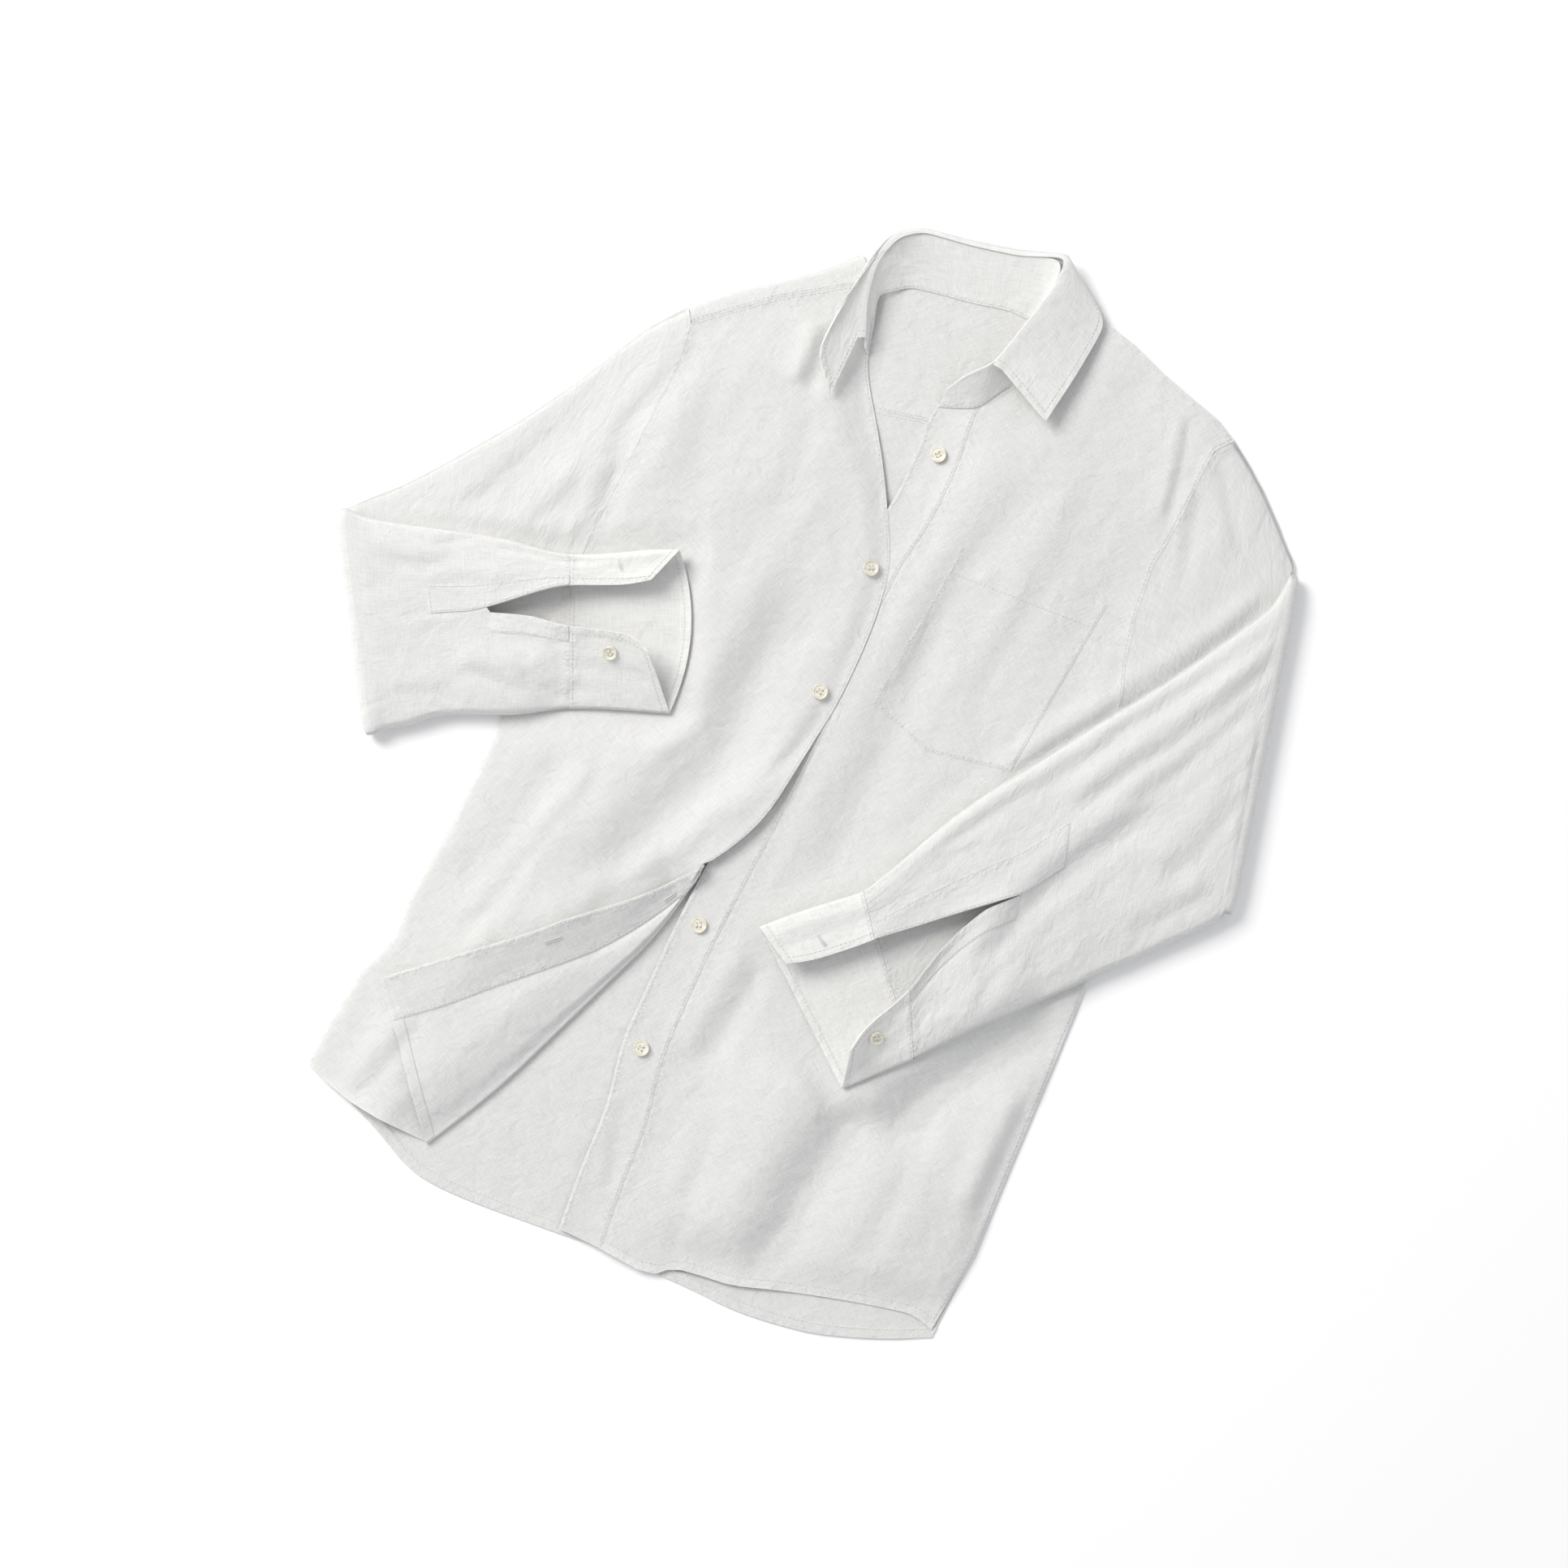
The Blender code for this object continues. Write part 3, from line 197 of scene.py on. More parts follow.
# Right sleeve rings: upper edge, lower edge, slit edge on the upper and on the lower
# flap (picture pixels), puff of the top layer over the lower one and height of the
# two slit edges over it (mm), and how far the lower layer's middle reaches on (px).
# Each of the four points takes two columns once a ring is a plain row of numbers.
RING_COLUMNS = ("e0", "e1", "g1", "g2", "puff", "lift1", "lift2", "reach")
RIGHT_UPPER_ARM = [
    ((848, 377), (690, 740)),
    ((800, 402), (664, 758)),
    ((760, 432), (640, 775)),
    ((700, 478), (612, 793)),
    ((640, 518), (580, 815)),
    ((580, 552), (550, 835)),
    ((530, 580), (523, 852)),
    ((490, 600), (500, 865)),
    ((450, 615), (475, 886)),
]
RIGHT_ELBOW = ((412, 628), (447, 906))
RIGHT_FOREARM = [
    ((450, 637), (478, 898), (458, 768), (458, 768), 8, 0, 0, 0),
    ((485, 643), (505, 893), (495, 764), (495, 764), 8, 0, 0, 0),
    ((520, 648), (530, 884), (530, 757), (530, 757), 8, 0, 0, 0),
    ((550, 652), (552, 880), (555, 755), (555, 755), 8, 0, 0, 0),
    ((578, 656), (575, 880), (580, 754), (580, 754), 9, 0, 0, 0),
    ((603, 660), (598, 880), (605, 748), (605, 755), 9, 2, 0, 0),
    ((628, 666), (622, 881), (632, 740), (632, 757), 10, 1, 2, 0),
    ((655, 674), (648, 879), (660, 731), (658, 760), 11, 2, 4, 0),
    ((680, 681), (675, 875), (683, 725), (680, 767), 12, 3, 7, 0),
    ((704, 685), (702, 872), (703, 722), (703, 773), 13, 3, 9, 0),
]
RIGHT_CUFF = [
    ((730, 685), (727, 872), (728, 722), (730, 776), 13, 1, 10, 2),
    ((752, 684), (748, 873), (748, 722), (750, 778), 14, 1, 11, 4),
    ((775, 682), (768, 874), (765, 722), (768, 781), 14, 1, 12, 7),
    ((805, 679), (795, 876), (783, 720), (785, 788), 15, 1, 13, 12),
    ((838, 679), (825, 878), (803, 716), (801, 806), 16, 1, 14, 20),
]

LEFT_UPPER_ARM = [
    ((1522, 543), (1386, 959)),
    ((1540, 572), (1408, 985)),
    ((1558, 606), (1432, 1012)),
    ((1575, 645), (1456, 1040)),
    ((1587, 676), (1478, 1068)),
    ((1597, 697), (1500, 1098)),
]
LEFT_ELBOW = ((1604, 712), (1522, 1128))
LEFT_FOREARM = [
    ((1570, 745), (1498, 1138), (1535, 940), (1535, 940), 8, 0, 0, 0),
    ((1530, 775), (1462, 1154), (1496, 965), (1496, 965), 8, 0, 0, 0),
    ((1485, 807), (1422, 1172), (1452, 988), (1452, 988), 7, 0, 0, 0),
    ((1440, 838), (1382, 1190), (1408, 1012), (1408, 1012), 7, 0, 0, 0),
    ((1398, 864), (1348, 1203), (1370, 1034), (1370, 1034), 7, 0, 0, 0),
    ((1355, 890), (1312, 1220), (1330, 1055), (1330, 1055), 8, 0, 0, 0),
    ((1312, 917), (1275, 1236), (1292, 1080), (1292, 1080), 8, 0, 0, 0),
    ((1272, 943), (1238, 1252), (1255, 1102), (1255, 1102), 9, 1, 0, 0),
    ((1225, 972), (1200, 1267), (1208, 1116), (1213, 1120), 10, 4, 1, 0),
    ((1180, 1003), (1170, 1281), (1163, 1130), (1182, 1145), 11, 2, 3, 0),
    ((1140, 1036), (1147, 1292), (1122, 1143), (1155, 1172), 12, 2, 5, 0),
    ((1100, 1070), (1133, 1300), (1098, 1150), (1136, 1196), 13, 3, 7, 0),
    ((1064, 1099), (1126, 1303), (1078, 1156), (1120, 1217), 14, 3, 8, 0),
]
LEFT_CUFF = [
    ((1040, 1107), (1110, 1309), (1058, 1164), (1106, 1230), 14, 1, 9, 0),
    ((1015, 1114), (1093, 1316), (1037, 1171), (1092, 1242), 14, 1, 10, 0),
    ((988, 1123), (1074, 1324), (1012, 1179), (1076, 1254), 15, 1, 12, 0),
    ((962, 1132), (1056, 1332), (990, 1184), (1060, 1270), 15, 1, 14, 0),
    ((936, 1142), (1037, 1340), (968, 1186), (1047, 1290), 16, 1, 17, 0),
]

# Collar stations from the right front round the neck to the left front: where the
# stand is sewn on, the ridge, the outermost roll and the free edge. Each is across
# and down in picture pixels and height in mm. The stand takes its foot from the
# cloth under it, so its seam has no height here.
COLLAR_COLUMNS = ("seam", "ridge", "roll", "edge")
COLLAR = [
    ((1069, 426), (1066, 416, 14), (1056, 417, 16), (1023, 487, 15)),
    ((1077, 392), (1068, 368, 17), (1058, 366, 19), (1007, 436, 25)),
    ((1082, 362), (1080, 325, 20), (1070, 321, 22), (1034, 384, 28)),
    ((1122, 352), (1107, 294, 18), (1099, 288, 18), (1086, 306, 20)),
    ((1160, 361), (1137, 286, 12), (1134, 280, 10.5), (1136, 325, 1.2)),
    ((1200, 372), (1196, 303, 11), (1194, 296, 9.5), (1192, 340, 1.2)),
    ((1245, 381), (1255, 316, 12), (1257, 309, 10.5), (1247, 350, 1.2)),
    ((1276, 396), (1314, 319, 17), (1322, 315, 15.5), (1345, 362, 7)),
    ((1281, 421), (1297, 357, 23), (1308, 357, 22), (1362, 400, 10)),
    ((1258, 464), (1262, 402, 26), (1273, 406, 25), (1326, 462, 16)),
    ((1205, 502), (1222, 452, 27), (1233, 458, 26), (1287, 521, 21)),
]
STAND_RIGHT_END = ((1070, 436), (1066, 428, 11))
STAND_LEFT_END = [((1182, 502), (1190, 462, 25)), ((1158, 500), (1166, 480, 14))]

# Large folds: the dark slope's centre line (picture pixels), the distance from it to
# the crest (mm), the crest's height (mm) and the trough's share of it.
RIGHT_FOLDS = [
    ([(985, 670), (971, 705), (941, 766), (897, 844), (867, 940), (800, 990),
      (758, 1027), (723, 1057), (660, 1105)], 26, 5.0, 0.7),
    ([(700, 915), (685, 930), (650, 970), (615, 1015), (580, 1050), (540, 1090)],
     22, 3.5, 0.7),
    ([(880, 395), (815, 455), (780, 500), (740, 560), (715, 640)], 20, 2.5, 0.5),
    ([(760, 470), (700, 510), (600, 600), (540, 650)], 20, 2.5, 0.5),
]
LEFT_FOLDS = [
    ([(1290, 530), (1270, 570), (1210, 650), (1150, 750), (1120, 800), (1090, 860),
      (1063, 936), (1032, 1001), (1005, 1055), (975, 1110)], 25, 4.5, 0.6),
    ([(1060, 1330), (1035, 1371), (1013, 1407), (995, 1435), (976, 1466),
      (958, 1503), (935, 1530), (910, 1580)], 30, 10.5, 0.5),
    ([(945, 1165), (928, 1190), (905, 1230), (885, 1260), (850, 1320)], 14, 3.0, 0.6),
    ([(780, 1250), (745, 1300), (700, 1370), (650, 1450)], 16, 2.5, 0.6),
    ([(1270, 1340), (1246, 1390), (1220, 1445), (1192, 1510)], 9, 4.5, 0.8),
]

# Broad swells: centre (picture pixels), radii along and across its axis (mm), the
# axis's angle from straight right towards down (degrees) and the height (mm).
RIGHT_SWELLS = [
    ((905, 1000), 75, 26, 135, 6.0),
    ((800, 600), 90, 60, 120, 3.0),
    ((640, 1150), 110, 22, 155, 4.0),
    ((560, 1240), 60, 30, 150, 2.0),
]
LEFT_SWELLS = [
    ((1270, 640), 110, 40, 115, 5.0),
    ((1180, 1450), 120, 40, 115, 6.0),
    ((940, 1340), 70, 40, 120, 4.0),
    ((1060, 1500), 60, 40, 115, 4.0),
]

# Finer creases of the same kind as the large folds, in the same columns.
RIGHT_CREASES = [
    ([(865, 385), (845, 420), (815, 470), (800, 510)], 7, 0.9, 0.6),
    ([(900, 420), (870, 470), (850, 540), (845, 600)], 12, 0.8, 0.6),
    ([(760, 560), (745, 600), (735, 640), (700, 670)], 8, 1.6, 0.7),
    ([(700, 500), (655, 545), (600, 590), (530, 632)], 9, 1.2, 0.6),
    ([(815, 455), (795, 478), (770, 515), (740, 540)], 7, 1.2, 0.6),
    ([(640, 560), (600, 600), (560, 625)], 6, 0.9, 0.6),
    ([(720, 580), (680, 620), (640, 645)], 7, 1.0, 0.6),
    ([(740, 925), (720, 975), (689, 1001), (645, 1053), (610, 1100), (550, 1153)],
     9, 1.3, 0.6),
    ([(936, 975), (871, 1031), (819, 1066), (741, 1105), (700, 1122)], 9, 1.2, 0.7),
    ([(620, 1140), (600, 1165), (560, 1190)], 9, 0.8, 0.6),
    ([(520, 1245), (490, 1285), (455, 1325), (425, 1350)], 10, 2.4, 0.6),
    ([(1014, 392), (1007, 422), (997, 452), (984, 480)], 7, 2.8, 1.0),
    ([(860, 890), (830, 930), (780, 960)], 10, 1.0, 0.6),
    ([(1040, 640), (1020, 700), (990, 760), (960, 800)], 12, 0.9, 0.6),
    ([(1000, 480), (985, 540), (960, 600), (950, 650)], 14, 0.8, 0.6),
]
LEFT_CREASES = [
    ([(1190, 540), (1170, 565), (1150, 592), (1125, 625)], 7, 1.2, 0.6),
    ([(1462, 500), (1455, 560), (1445, 600), (1432, 650)], 5, 1.5, 0.7),
    ([(1478, 590), (1465, 640), (1460, 690), (1440, 740)], 5, 1.3, 0.7),
    ([(1500, 548), (1500, 600), (1515, 640), (1522, 690)], 6, 1.3, 0.7),
    ([(1385, 800), (1370, 840), (1355, 880)], 8, 0.9, 0.6),
    ([(1345, 1205), (1290, 1215), (1250, 1235), (1200, 1262)], 7, 1.5, 0.6),
    ([(1240, 700), (1200, 760), (1170, 820)], 10, 0.8, 0.6),
    ([(1300, 690), (1260, 760), (1215, 830), (1180, 880)], 12, 0.8, 0.6),
    ([(1200, 940), (1140, 1000), (1090, 1050)], 12, 1.0, 0.6),
    ([(1030, 1120), (990, 1200), (950, 1260)], 10, 1.2, 0.6),
    ([(1150, 1350), (1120, 1420), (1080, 1500), (1060, 1560)], 12, 1.2, 0.6),
    ([(880, 1360), (860, 1420), (830, 1490)], 10, 1.0, 0.6),
    ([(770, 1340), (752, 1400), (745, 1470)], 7, 1.4, 0.6),
    ([(1240, 1400), (1210, 1470), (1180, 1560)], 8, 1.0, 0.6),
]
RIGHT_ARM_CREASES = [
    ([(640, 648), (600, 655), (560, 660), (520, 668)], 5, 1.6, 0.7),
    ([(735, 690), (690, 684), (640, 676), (600, 668)], 4, 1.4, 0.7),
    ([(560, 690), (520, 692), (480, 686), (450, 676)], 7, 1.2, 0.6),
    ([(640, 720), (580, 712), (520, 718)], 6, 0.8, 0.6),
    ([(650, 850), (625, 840), (600, 825), (560, 822)], 7, 1.6, 0.6),
    ([(700, 862), (670, 842), (640, 820)], 7, 1.8, 0.6),
    ([(560, 850), (520, 846), (470, 852)], 9, 0.9, 0.6),
    ([(700, 800), (670, 790), (640, 786), (600, 780)], 7, 0.9, 0.6),
]
LEFT_ARM_CREASES = [
    ([(1600, 742), (1500, 818), (1400, 882), (1300, 946), (1200, 1006), (1150, 1050),
      (1095, 1090)], 6, 2.0, 0.9),
    ([(1590, 790), (1480, 885), (1370, 957), (1300, 1008)], 8, 3.0, 0.7),
    ([(1575, 835), (1500, 900), (1420, 965), (1360, 1000)], 9, 2.6, 0.7),
    ([(1440, 970), (1380, 1012), (1290, 1080), (1230, 1140), (1190, 1230)], 11, 4.0, 0.7),
    ([(1540, 960), (1480, 1030), (1420, 1090)], 12, 2.6, 0.6),
    ([(1500, 1090), (1440, 1120), (1380, 1150)], 10, 2.2, 0.6),
    ([(1590, 900), (1570, 980), (1545, 1060)], 14, 2.0, 0.6),
    ([(1260, 1170), (1220, 1200), (1190, 1245)], 6, 1.2, 0.6),
    ([(1220, 1030), (1180, 1050), (1140, 1082)], 5, 0.8, 0.6),
    ([(1380, 905), (1320, 950), (1260, 985)], 6, 0.9, 0.6),
]

# Contact creases, in the same columns: the cloth dips where a folded forearm presses on it.
RIGHT_CONTACT = [
    ([(770, 668), (700, 670), (640, 655), (560, 641), (480, 632)], 8, 1.6, 0.3),
]
LEFT_CONTACT = [
    ([(1590, 716), (1500, 790), (1400, 855), (1300, 917), (1215, 970)], 8, 3.4, 0.3),
    ([(1310, 1228), (1240, 1263), (1165, 1312), (1105, 1360), (1060, 1410)],
     24, 9.5, 0.7),
]


def at(point):
    """A picture point, or a list of them, as millimetres from the origin."""
    points = np.asarray(point, float)
    across = (points[..., 0] - PICTURE_ORIGIN[0]) * MM_PER_PIXEL
    up = (PICTURE_ORIGIN[1] - points[..., 1]) * MM_PER_PIXEL
    return np.stack([across, up], axis=-1)


def reached_at(line):
    """Distance along a polyline from its start to each of its points."""
    step = np.linalg.norm(np.diff(line, axis=0), axis=1)
    return np.concatenate([[0.0], np.cumsum(step)])


def along(points, shares):
    """Points at the given shares of a polyline's length."""
    points = np.asarray(points, float)
    reached = reached_at(points)
    want = np.asarray(shares) * reached[-1]
    return np.stack([np.interp(want, reached, axis) for axis in points.T], axis=-1)


def eased(points, rounds=2):
    """A polyline with its corners cut and its two ends kept."""
    points = np.asarray(points, float)
    for _ in range(rounds):
        cut = np.empty((2 * len(points), points.shape[1]))
        cut[0], cut[-1] = points[0], points[-1]
        cut[1:-1:2] = 0.75 * points[:-1] + 0.25 * points[1:]
        cut[2::2] = 0.25 * points[:-1] + 0.75 * points[1:]
        points = cut
    return points


def smooth(share):
    share = np.clip(share, 0.0, 1.0)
    return share * share * (3.0 - 2.0 * share)


def above(places, row, width):
    """0 at a row of the picture, rising to 1 at this distance (mm) above it."""
    return smooth((places[..., 1] - at((0, row))[1]) / width)


def below(places, row, width):
    """0 at a row of the picture, rising to 1 at this distance (mm) below it."""
    return smooth((at((0, row))[1] - places[..., 1]) / width)


def to_line(places, line):
    """Distance to a polyline, the side (+1 left of it) and the share along it."""
    places = np.asarray(places, float)
    best = np.full(places.shape[:-1], np.inf)
    side = np.ones_like(best)
    share = np.zeros_like(best)
    step = np.linalg.norm(np.diff(line, axis=0), axis=1)
    reached = reached_at(line)
    for start, end, length, before in zip(line[:-1], line[1:], step, reached):
        if length < 1e-9:
            continue
        way = (end - start) / length
        offset = places - start
        reach = np.clip(offset @ way, 0.0, length)
        away = offset - reach[..., None] * way
        distance = np.linalg.norm(away, axis=-1)
        closer = distance < best
        turn = way[0] * offset[..., 1] - way[1] * offset[..., 0]
        best = np.where(closer, distance, best)
        side = np.where(closer, np.where(turn >= 0, 1.0, -1.0), side)
        share = np.where(closer, (before + reach) / reached[-1], share)
    return best, side, share


def inside(places, outline):
    """True where a place is inside the closed outline."""
    x, y = places[..., 0], places[..., 1]
    found = np.zeros(x.shape, bool)
    for (x0, y0), (x1, y1) in zip(outline, np.roll(outline, -1, axis=0)):
        if y0 == y1:
            continue
        crosses = (y0 > y) != (y1 > y)
        found ^= crosses & (x < x0 + (y - y0) * (x1 - x0) / (y1 - y0))
    return found


def fold_height(places, folds):
    """A crest above and left of each fold's line and a trough below and right."""
    total = np.zeros(places.shape[:-1])
    for line, reach, height, trough in folds:
        route = eased(at(line))
        low, high = route.min(axis=0) - 4 * reach, route.max(axis=0) + 4 * reach
        near = ((places > low) & (places < high)).all(axis=-1)
        if not near.any():
            continue
        distance, side, share = to_line(places[near], route)
        # The line runs down the picture, so its right-hand side, seen along it, is
        # the upper left, where the crest is.
        signed = -side * distance
        wide = np.where(signed > 0, reach, reach * trough)
        tall = np.where(signed > 0, height, height * trough)
        shape = (signed / wide) * np.exp(0.5 - 0.5 * (signed / wide) ** 2)
        ends = smooth(share / 0.2) * smooth((1.0 - share) / 0.2)
        total[near] += tall * shape * ends
    return total


def swell_height(places, swells):
    total = np.zeros(places.shape[:-1])
    for centre, long, wide, angle, height in swells:
        turn = -math.radians(angle)
        offset = places - at(centre)
        first = offset[..., 0] * math.cos(turn) + offset[..., 1] * math.sin(turn)
        second = offset[..., 1] * math.cos(turn) - offset[..., 0] * math.sin(turn)
        total += height * np.exp(-((first / long) ** 2 + (second / wide) ** 2))
    return total


# Small crumples: length along the folds, width across them and height, all in mm,
# and the seed of each layer's random heights.
CRUMPLES = [(120, 40, 1.3, 11), (64, 22, 0.75, 12), (34, 12, 0.34, 13), (17, 8, 0.13, 14)]


def crumple_height(places, angle, layers=CRUMPLES):
    """Soft uneven waves, longer along the angle (degrees from right towards down)."""
    turn = -math.radians(angle)
    first = places[..., 0] * math.cos(turn) + places[..., 1] * math.sin(turn)
    second = places[..., 1] * math.cos(turn) - places[..., 0] * math.sin(turn)
    total = np.zeros(places.shape[:-1])
    for long, wide, height, seed in layers:
        heights = np.random.default_rng(seed).uniform(-1.0, 1.0, (128, 128))
        # Each wave bends a little, so that no two of them run quite parallel.
        bent = second + 0.35 * wide * np.sin(first / long * 1.7 + seed)
        u, v = first / long + 64.0, bent / wide + 64.0
        i, j = np.floor(u).astype(int), np.floor(v).astype(int)
        fu, fv = smooth(u - i), smooth(v - j)
        i, j = i % 127, j % 127
        total += height * (
            heights[i, j] * (1 - fu) * (1 - fv) + heights[i + 1, j] * fu * (1 - fv)
            + heights[i, j + 1] * (1 - fu) * fv + heights[i + 1, j + 1] * fu * fv
        )
    return total


def side_data(shoulder, upper, elbow, side, rest, forearm, contact, roll):
    """Rolled edges, footprint and forearm outline of one half of the shirt."""
    top = at(shoulder + [row[0] for row in upper[1:]] + [elbow[0]])
    low = at([elbow[1]] + [row[1] for row in upper[::-1]] + side[1:])
    first = at([elbow[0]] + [row[0] for row in forearm])
    second = at([elbow[1]] + [row[1] for row in forearm])
    return {
        "rolled": (top, low),
        "footprint": np.concatenate([top, low, at(rest)]),
        "forearm": np.concatenate([first, second[::-1]]),
        "contact": contact,
        "roll": roll[0],
        "steep": roll[1],
    }


# Beyond these rough borders no cloth rolls down: the fronts end there in free edges.
RIGHT_OPEN_SIDE = [
    (360, 1400), (560, 1540), (900, 1300), (1200, 1000), (1200, 600), (1130, 300),
]
LEFT_OPEN_SIDE = [
    (1140, 1720), (640, 1640), (640, 1300), (850, 800), (1050, 500), (1250, 330),
]
RIGHT = side_data(
    YOKE_SHOULDER[::-1], RIGHT_UPPER_ARM, RIGHT_ELBOW, RIGHT_SIDE, RIGHT_OPEN_SIDE,
    RIGHT_FOREARM + RIGHT_CUFF, RIGHT_CONTACT, RIGHT_ROLL,
)
LEFT = side_data(
    LEFT_SHOULDER, LEFT_UPPER_ARM, LEFT_ELBOW, LEFT_SIDE, LEFT_OPEN_SIDE,
    LEFT_FOREARM + LEFT_CUFF, LEFT_CONTACT, LEFT_ROLL,
)
BODY_ANGLE = {"right": 127.0, "left": 118.0}  # folds' way, from right towards down

# Where the upper cloth changes: a row or a column of the picture, and the width in
# millimetres over which it changes.
ARM_ABOVE = (800, 60.0)  # the right upper arm begins
ARM_LEFT_OF = (790, 40.0)  # and it lies to the left of this
ARM_RIGHT_OF = (1330, 60.0)  # the left upper arm begins
LAPPED_BELOW = (490, 78.0)  # the right front's edge lies on the left front
RAISED_BELOW = (870, 66.0)  # that edge stands up, beside the turned-back corner
OPEN_ABOVE = (650, 48.0)  # the left front's edge lies on the back
LAP_FLAT = (10.0, 45.0)  # flat strip in from the left front's edge, and its fade (mm)
# Shares of a line's length.
FOLD_FADE = 0.12  # of the corner's fold, from the front's edge
HEM_RAISED = (0.62, 0.2)  # of the left hem: end of its raised part, and the fade


def upper_cloth(places, half, base, folds, swells, angle):
    """Height of the shirt's upper layer: fronts and the top of the upper arms."""
    free = base + fold_height(places, folds) + swell_height(places, swells)
    free = free + crumple_height(places, angle)
    under, _, _ = to_line(places, np.vstack([half["forearm"], half["forearm"][:1]]))
    under = np.where(inside(places, half["forearm"]), under, -under)
    hidden = smooth((under + HIDDEN_MARGIN) / HIDDEN_MARGIN)
    level = free * (1.0 - hidden) + CALM_Z * hidden
    level = np.maximum(level + fold_height(places, half["contact"]), SIDE_Z)
    away = np.minimum(*(to_line(places, line)[0] for line in half["rolled"]))
    away = np.where(inside(places, half["footprint"]), away, 0.0)
    rise = 1.0 - np.clip(away / half["roll"], 0.0, 1.0)
    fall = half["steep"] * np.sqrt(1.0 - rise**2)
    fall = fall + (1.0 - half["steep"]) * smooth(away / SIDE_FALL)
    return SIDE_Z + (level - SIDE_Z) * fall


def right_cloth(places):
    """The right front and the upper right arm, which is a little lower."""
    middle, width = ARM_LEFT_OF
    arm = smooth((at((middle, 0))[0] - places[..., 0]) / width + 0.5)
    arm = arm * above(places, *ARM_ABOVE)
    base = RIGHT_BASE + (SLEEVE_BASE - RIGHT_BASE) * arm
    level = upper_cloth(
        places, RIGHT, base, RIGHT_FOLDS + RIGHT_CREASES, RIGHT_SWELLS,
        BODY_ANGLE["right"],
    )
    # The free edge comes down to the cloth under it, but for its slit near the flap.
    lapped = below(places, *LAPPED_BELOW)
    under = NECK_EDGE_Z * (1 - lapped) + (left_cloth(places) + LAPPED_LIFT) * lapped
    reach = NECK_EDGE_REACH + (LAPPED_EDGE_REACH - NECK_EDGE_REACH) * lapped
    distance, _, _ = to_line(places, at(RIGHT_EDGE))
    keep = np.maximum(below(places, *RAISED_BELOW), smooth(distance / reach))
    level = under + (level - under) * keep
    # The corner's fold lies low, on the left front's edge and the back.
    distance, _, share = to_line(places, at(FLAP_FOLD))
    keep = np.maximum(smooth(distance / FOLD_REACH), smooth(1 - share / FOLD_FADE))
    return FOLD_Z + (level - FOLD_Z) * keep


def left_cloth(places):
    """The left front, flat where the right one lies on it, and the upper left arm."""
    distance, side, share = to_line(places, at(LEFT_EDGE))
    opened = smooth((distance * side - LAP_FLAT[0]) / LAP_FLAT[1])
    start, width = ARM_RIGHT_OF
    arm = smooth((places[..., 0] - at((start, 0))[0]) / width)
    base = LEFT_BASE + (SLEEVE_BASE - LEFT_BASE) * arm
    level = upper_cloth(
        places, LEFT, base, LEFT_FOLDS + LEFT_CREASES, LEFT_SWELLS, BODY_ANGLE["left"],
    )
    level = LEFT_BASE + (level - LEFT_BASE) * np.maximum(opened, smooth(share * 3 - 2))
    # The free edge beside the neck lies low, on the back.
    low = 1.0 - smooth(distance / NECK_EDGE_REACH)
    low = low * above(places, *OPEN_ABOVE)
    level = level + (NECK_EDGE_Z - level) * low
    # The hem comes down to the back, but for the part where the deep fold ends.
    distance, _, share = to_line(places, at(LEFT_HEM))
    raised_part = smooth((HEM_RAISED[0] - share) / HEM_RAISED[1])
    keep = np.maximum(smooth(distance / HEM_REACH), raised_part)
    return HEM_Z + (level - HEM_Z) * keep


def patch(top, bottom, left, right, across, down):
    """Places of a four-sided panel. Each side is a polyline in millimetres, and
    across and down are shares that give the columns and the rows."""
    u, v = np.asarray(across), np.asarray(down)
    first, last = along(top, u), along(bottom, u)
    start, end = along(left, v), along(right, v)
    u, v = u[None, :, None], v[:, None, None]
    corners = (
        (1 - u) * (1 - v) * first[0] + u * (1 - v) * first[-1]
        + (1 - u) * v * last[0] + u * v * last[-1]
    )
    return (
        (1 - v) * first[None] + v * last[None]
        + (1 - u) * start[:, None] + u * end[:, None] - corners
    )


def raised(places, height):
    """Places (grid, 2) with one height, heights or a height function, as points."""
    tall = height(places) if callable(height) else np.full(places.shape[:-1], height)
    return np.concatenate([places, tall[..., None]], axis=-1)


def drawn_in(grid, sides, gap=SEAM_GAP / 2):
    """The grid with the named borders moved in, so that seams don't touch."""
    grid = grid.copy()
    rows = {"top": (0, 1), "bottom": (-1, -2)}
    columns = {"left": (0, 1), "right": (-1, -2)}
    for side in sides:
        if side in rows:
            border, inner = (grid[k] for k in rows[side])
        else:
            border, inner = (grid[:, k] for k in columns[side])
        way = inner - border
        length = np.linalg.norm(way, axis=-1, keepdims=True)
        border += way / np.maximum(length, 1e-6) * gap
    return grid


def shares(length, cell):
    """Even shares of a length, about one cell apart."""
    return np.linspace(0.0, 1.0, max(2, round(length / cell)) + 1)


def length_of(line):
    return float(np.linalg.norm(np.diff(np.asarray(line, float), axis=0), axis=1).sum())


def normals_of(grid):
    """Unit normals of a grid of points, on the side that faces up for a flat one."""
    down = np.gradient(grid, axis=0)
    across = np.gradient(grid, axis=1)
    normal = np.cross(down, across)
    return normal / np.maximum(np.linalg.norm(normal, axis=-1, keepdims=True), 1e-9)


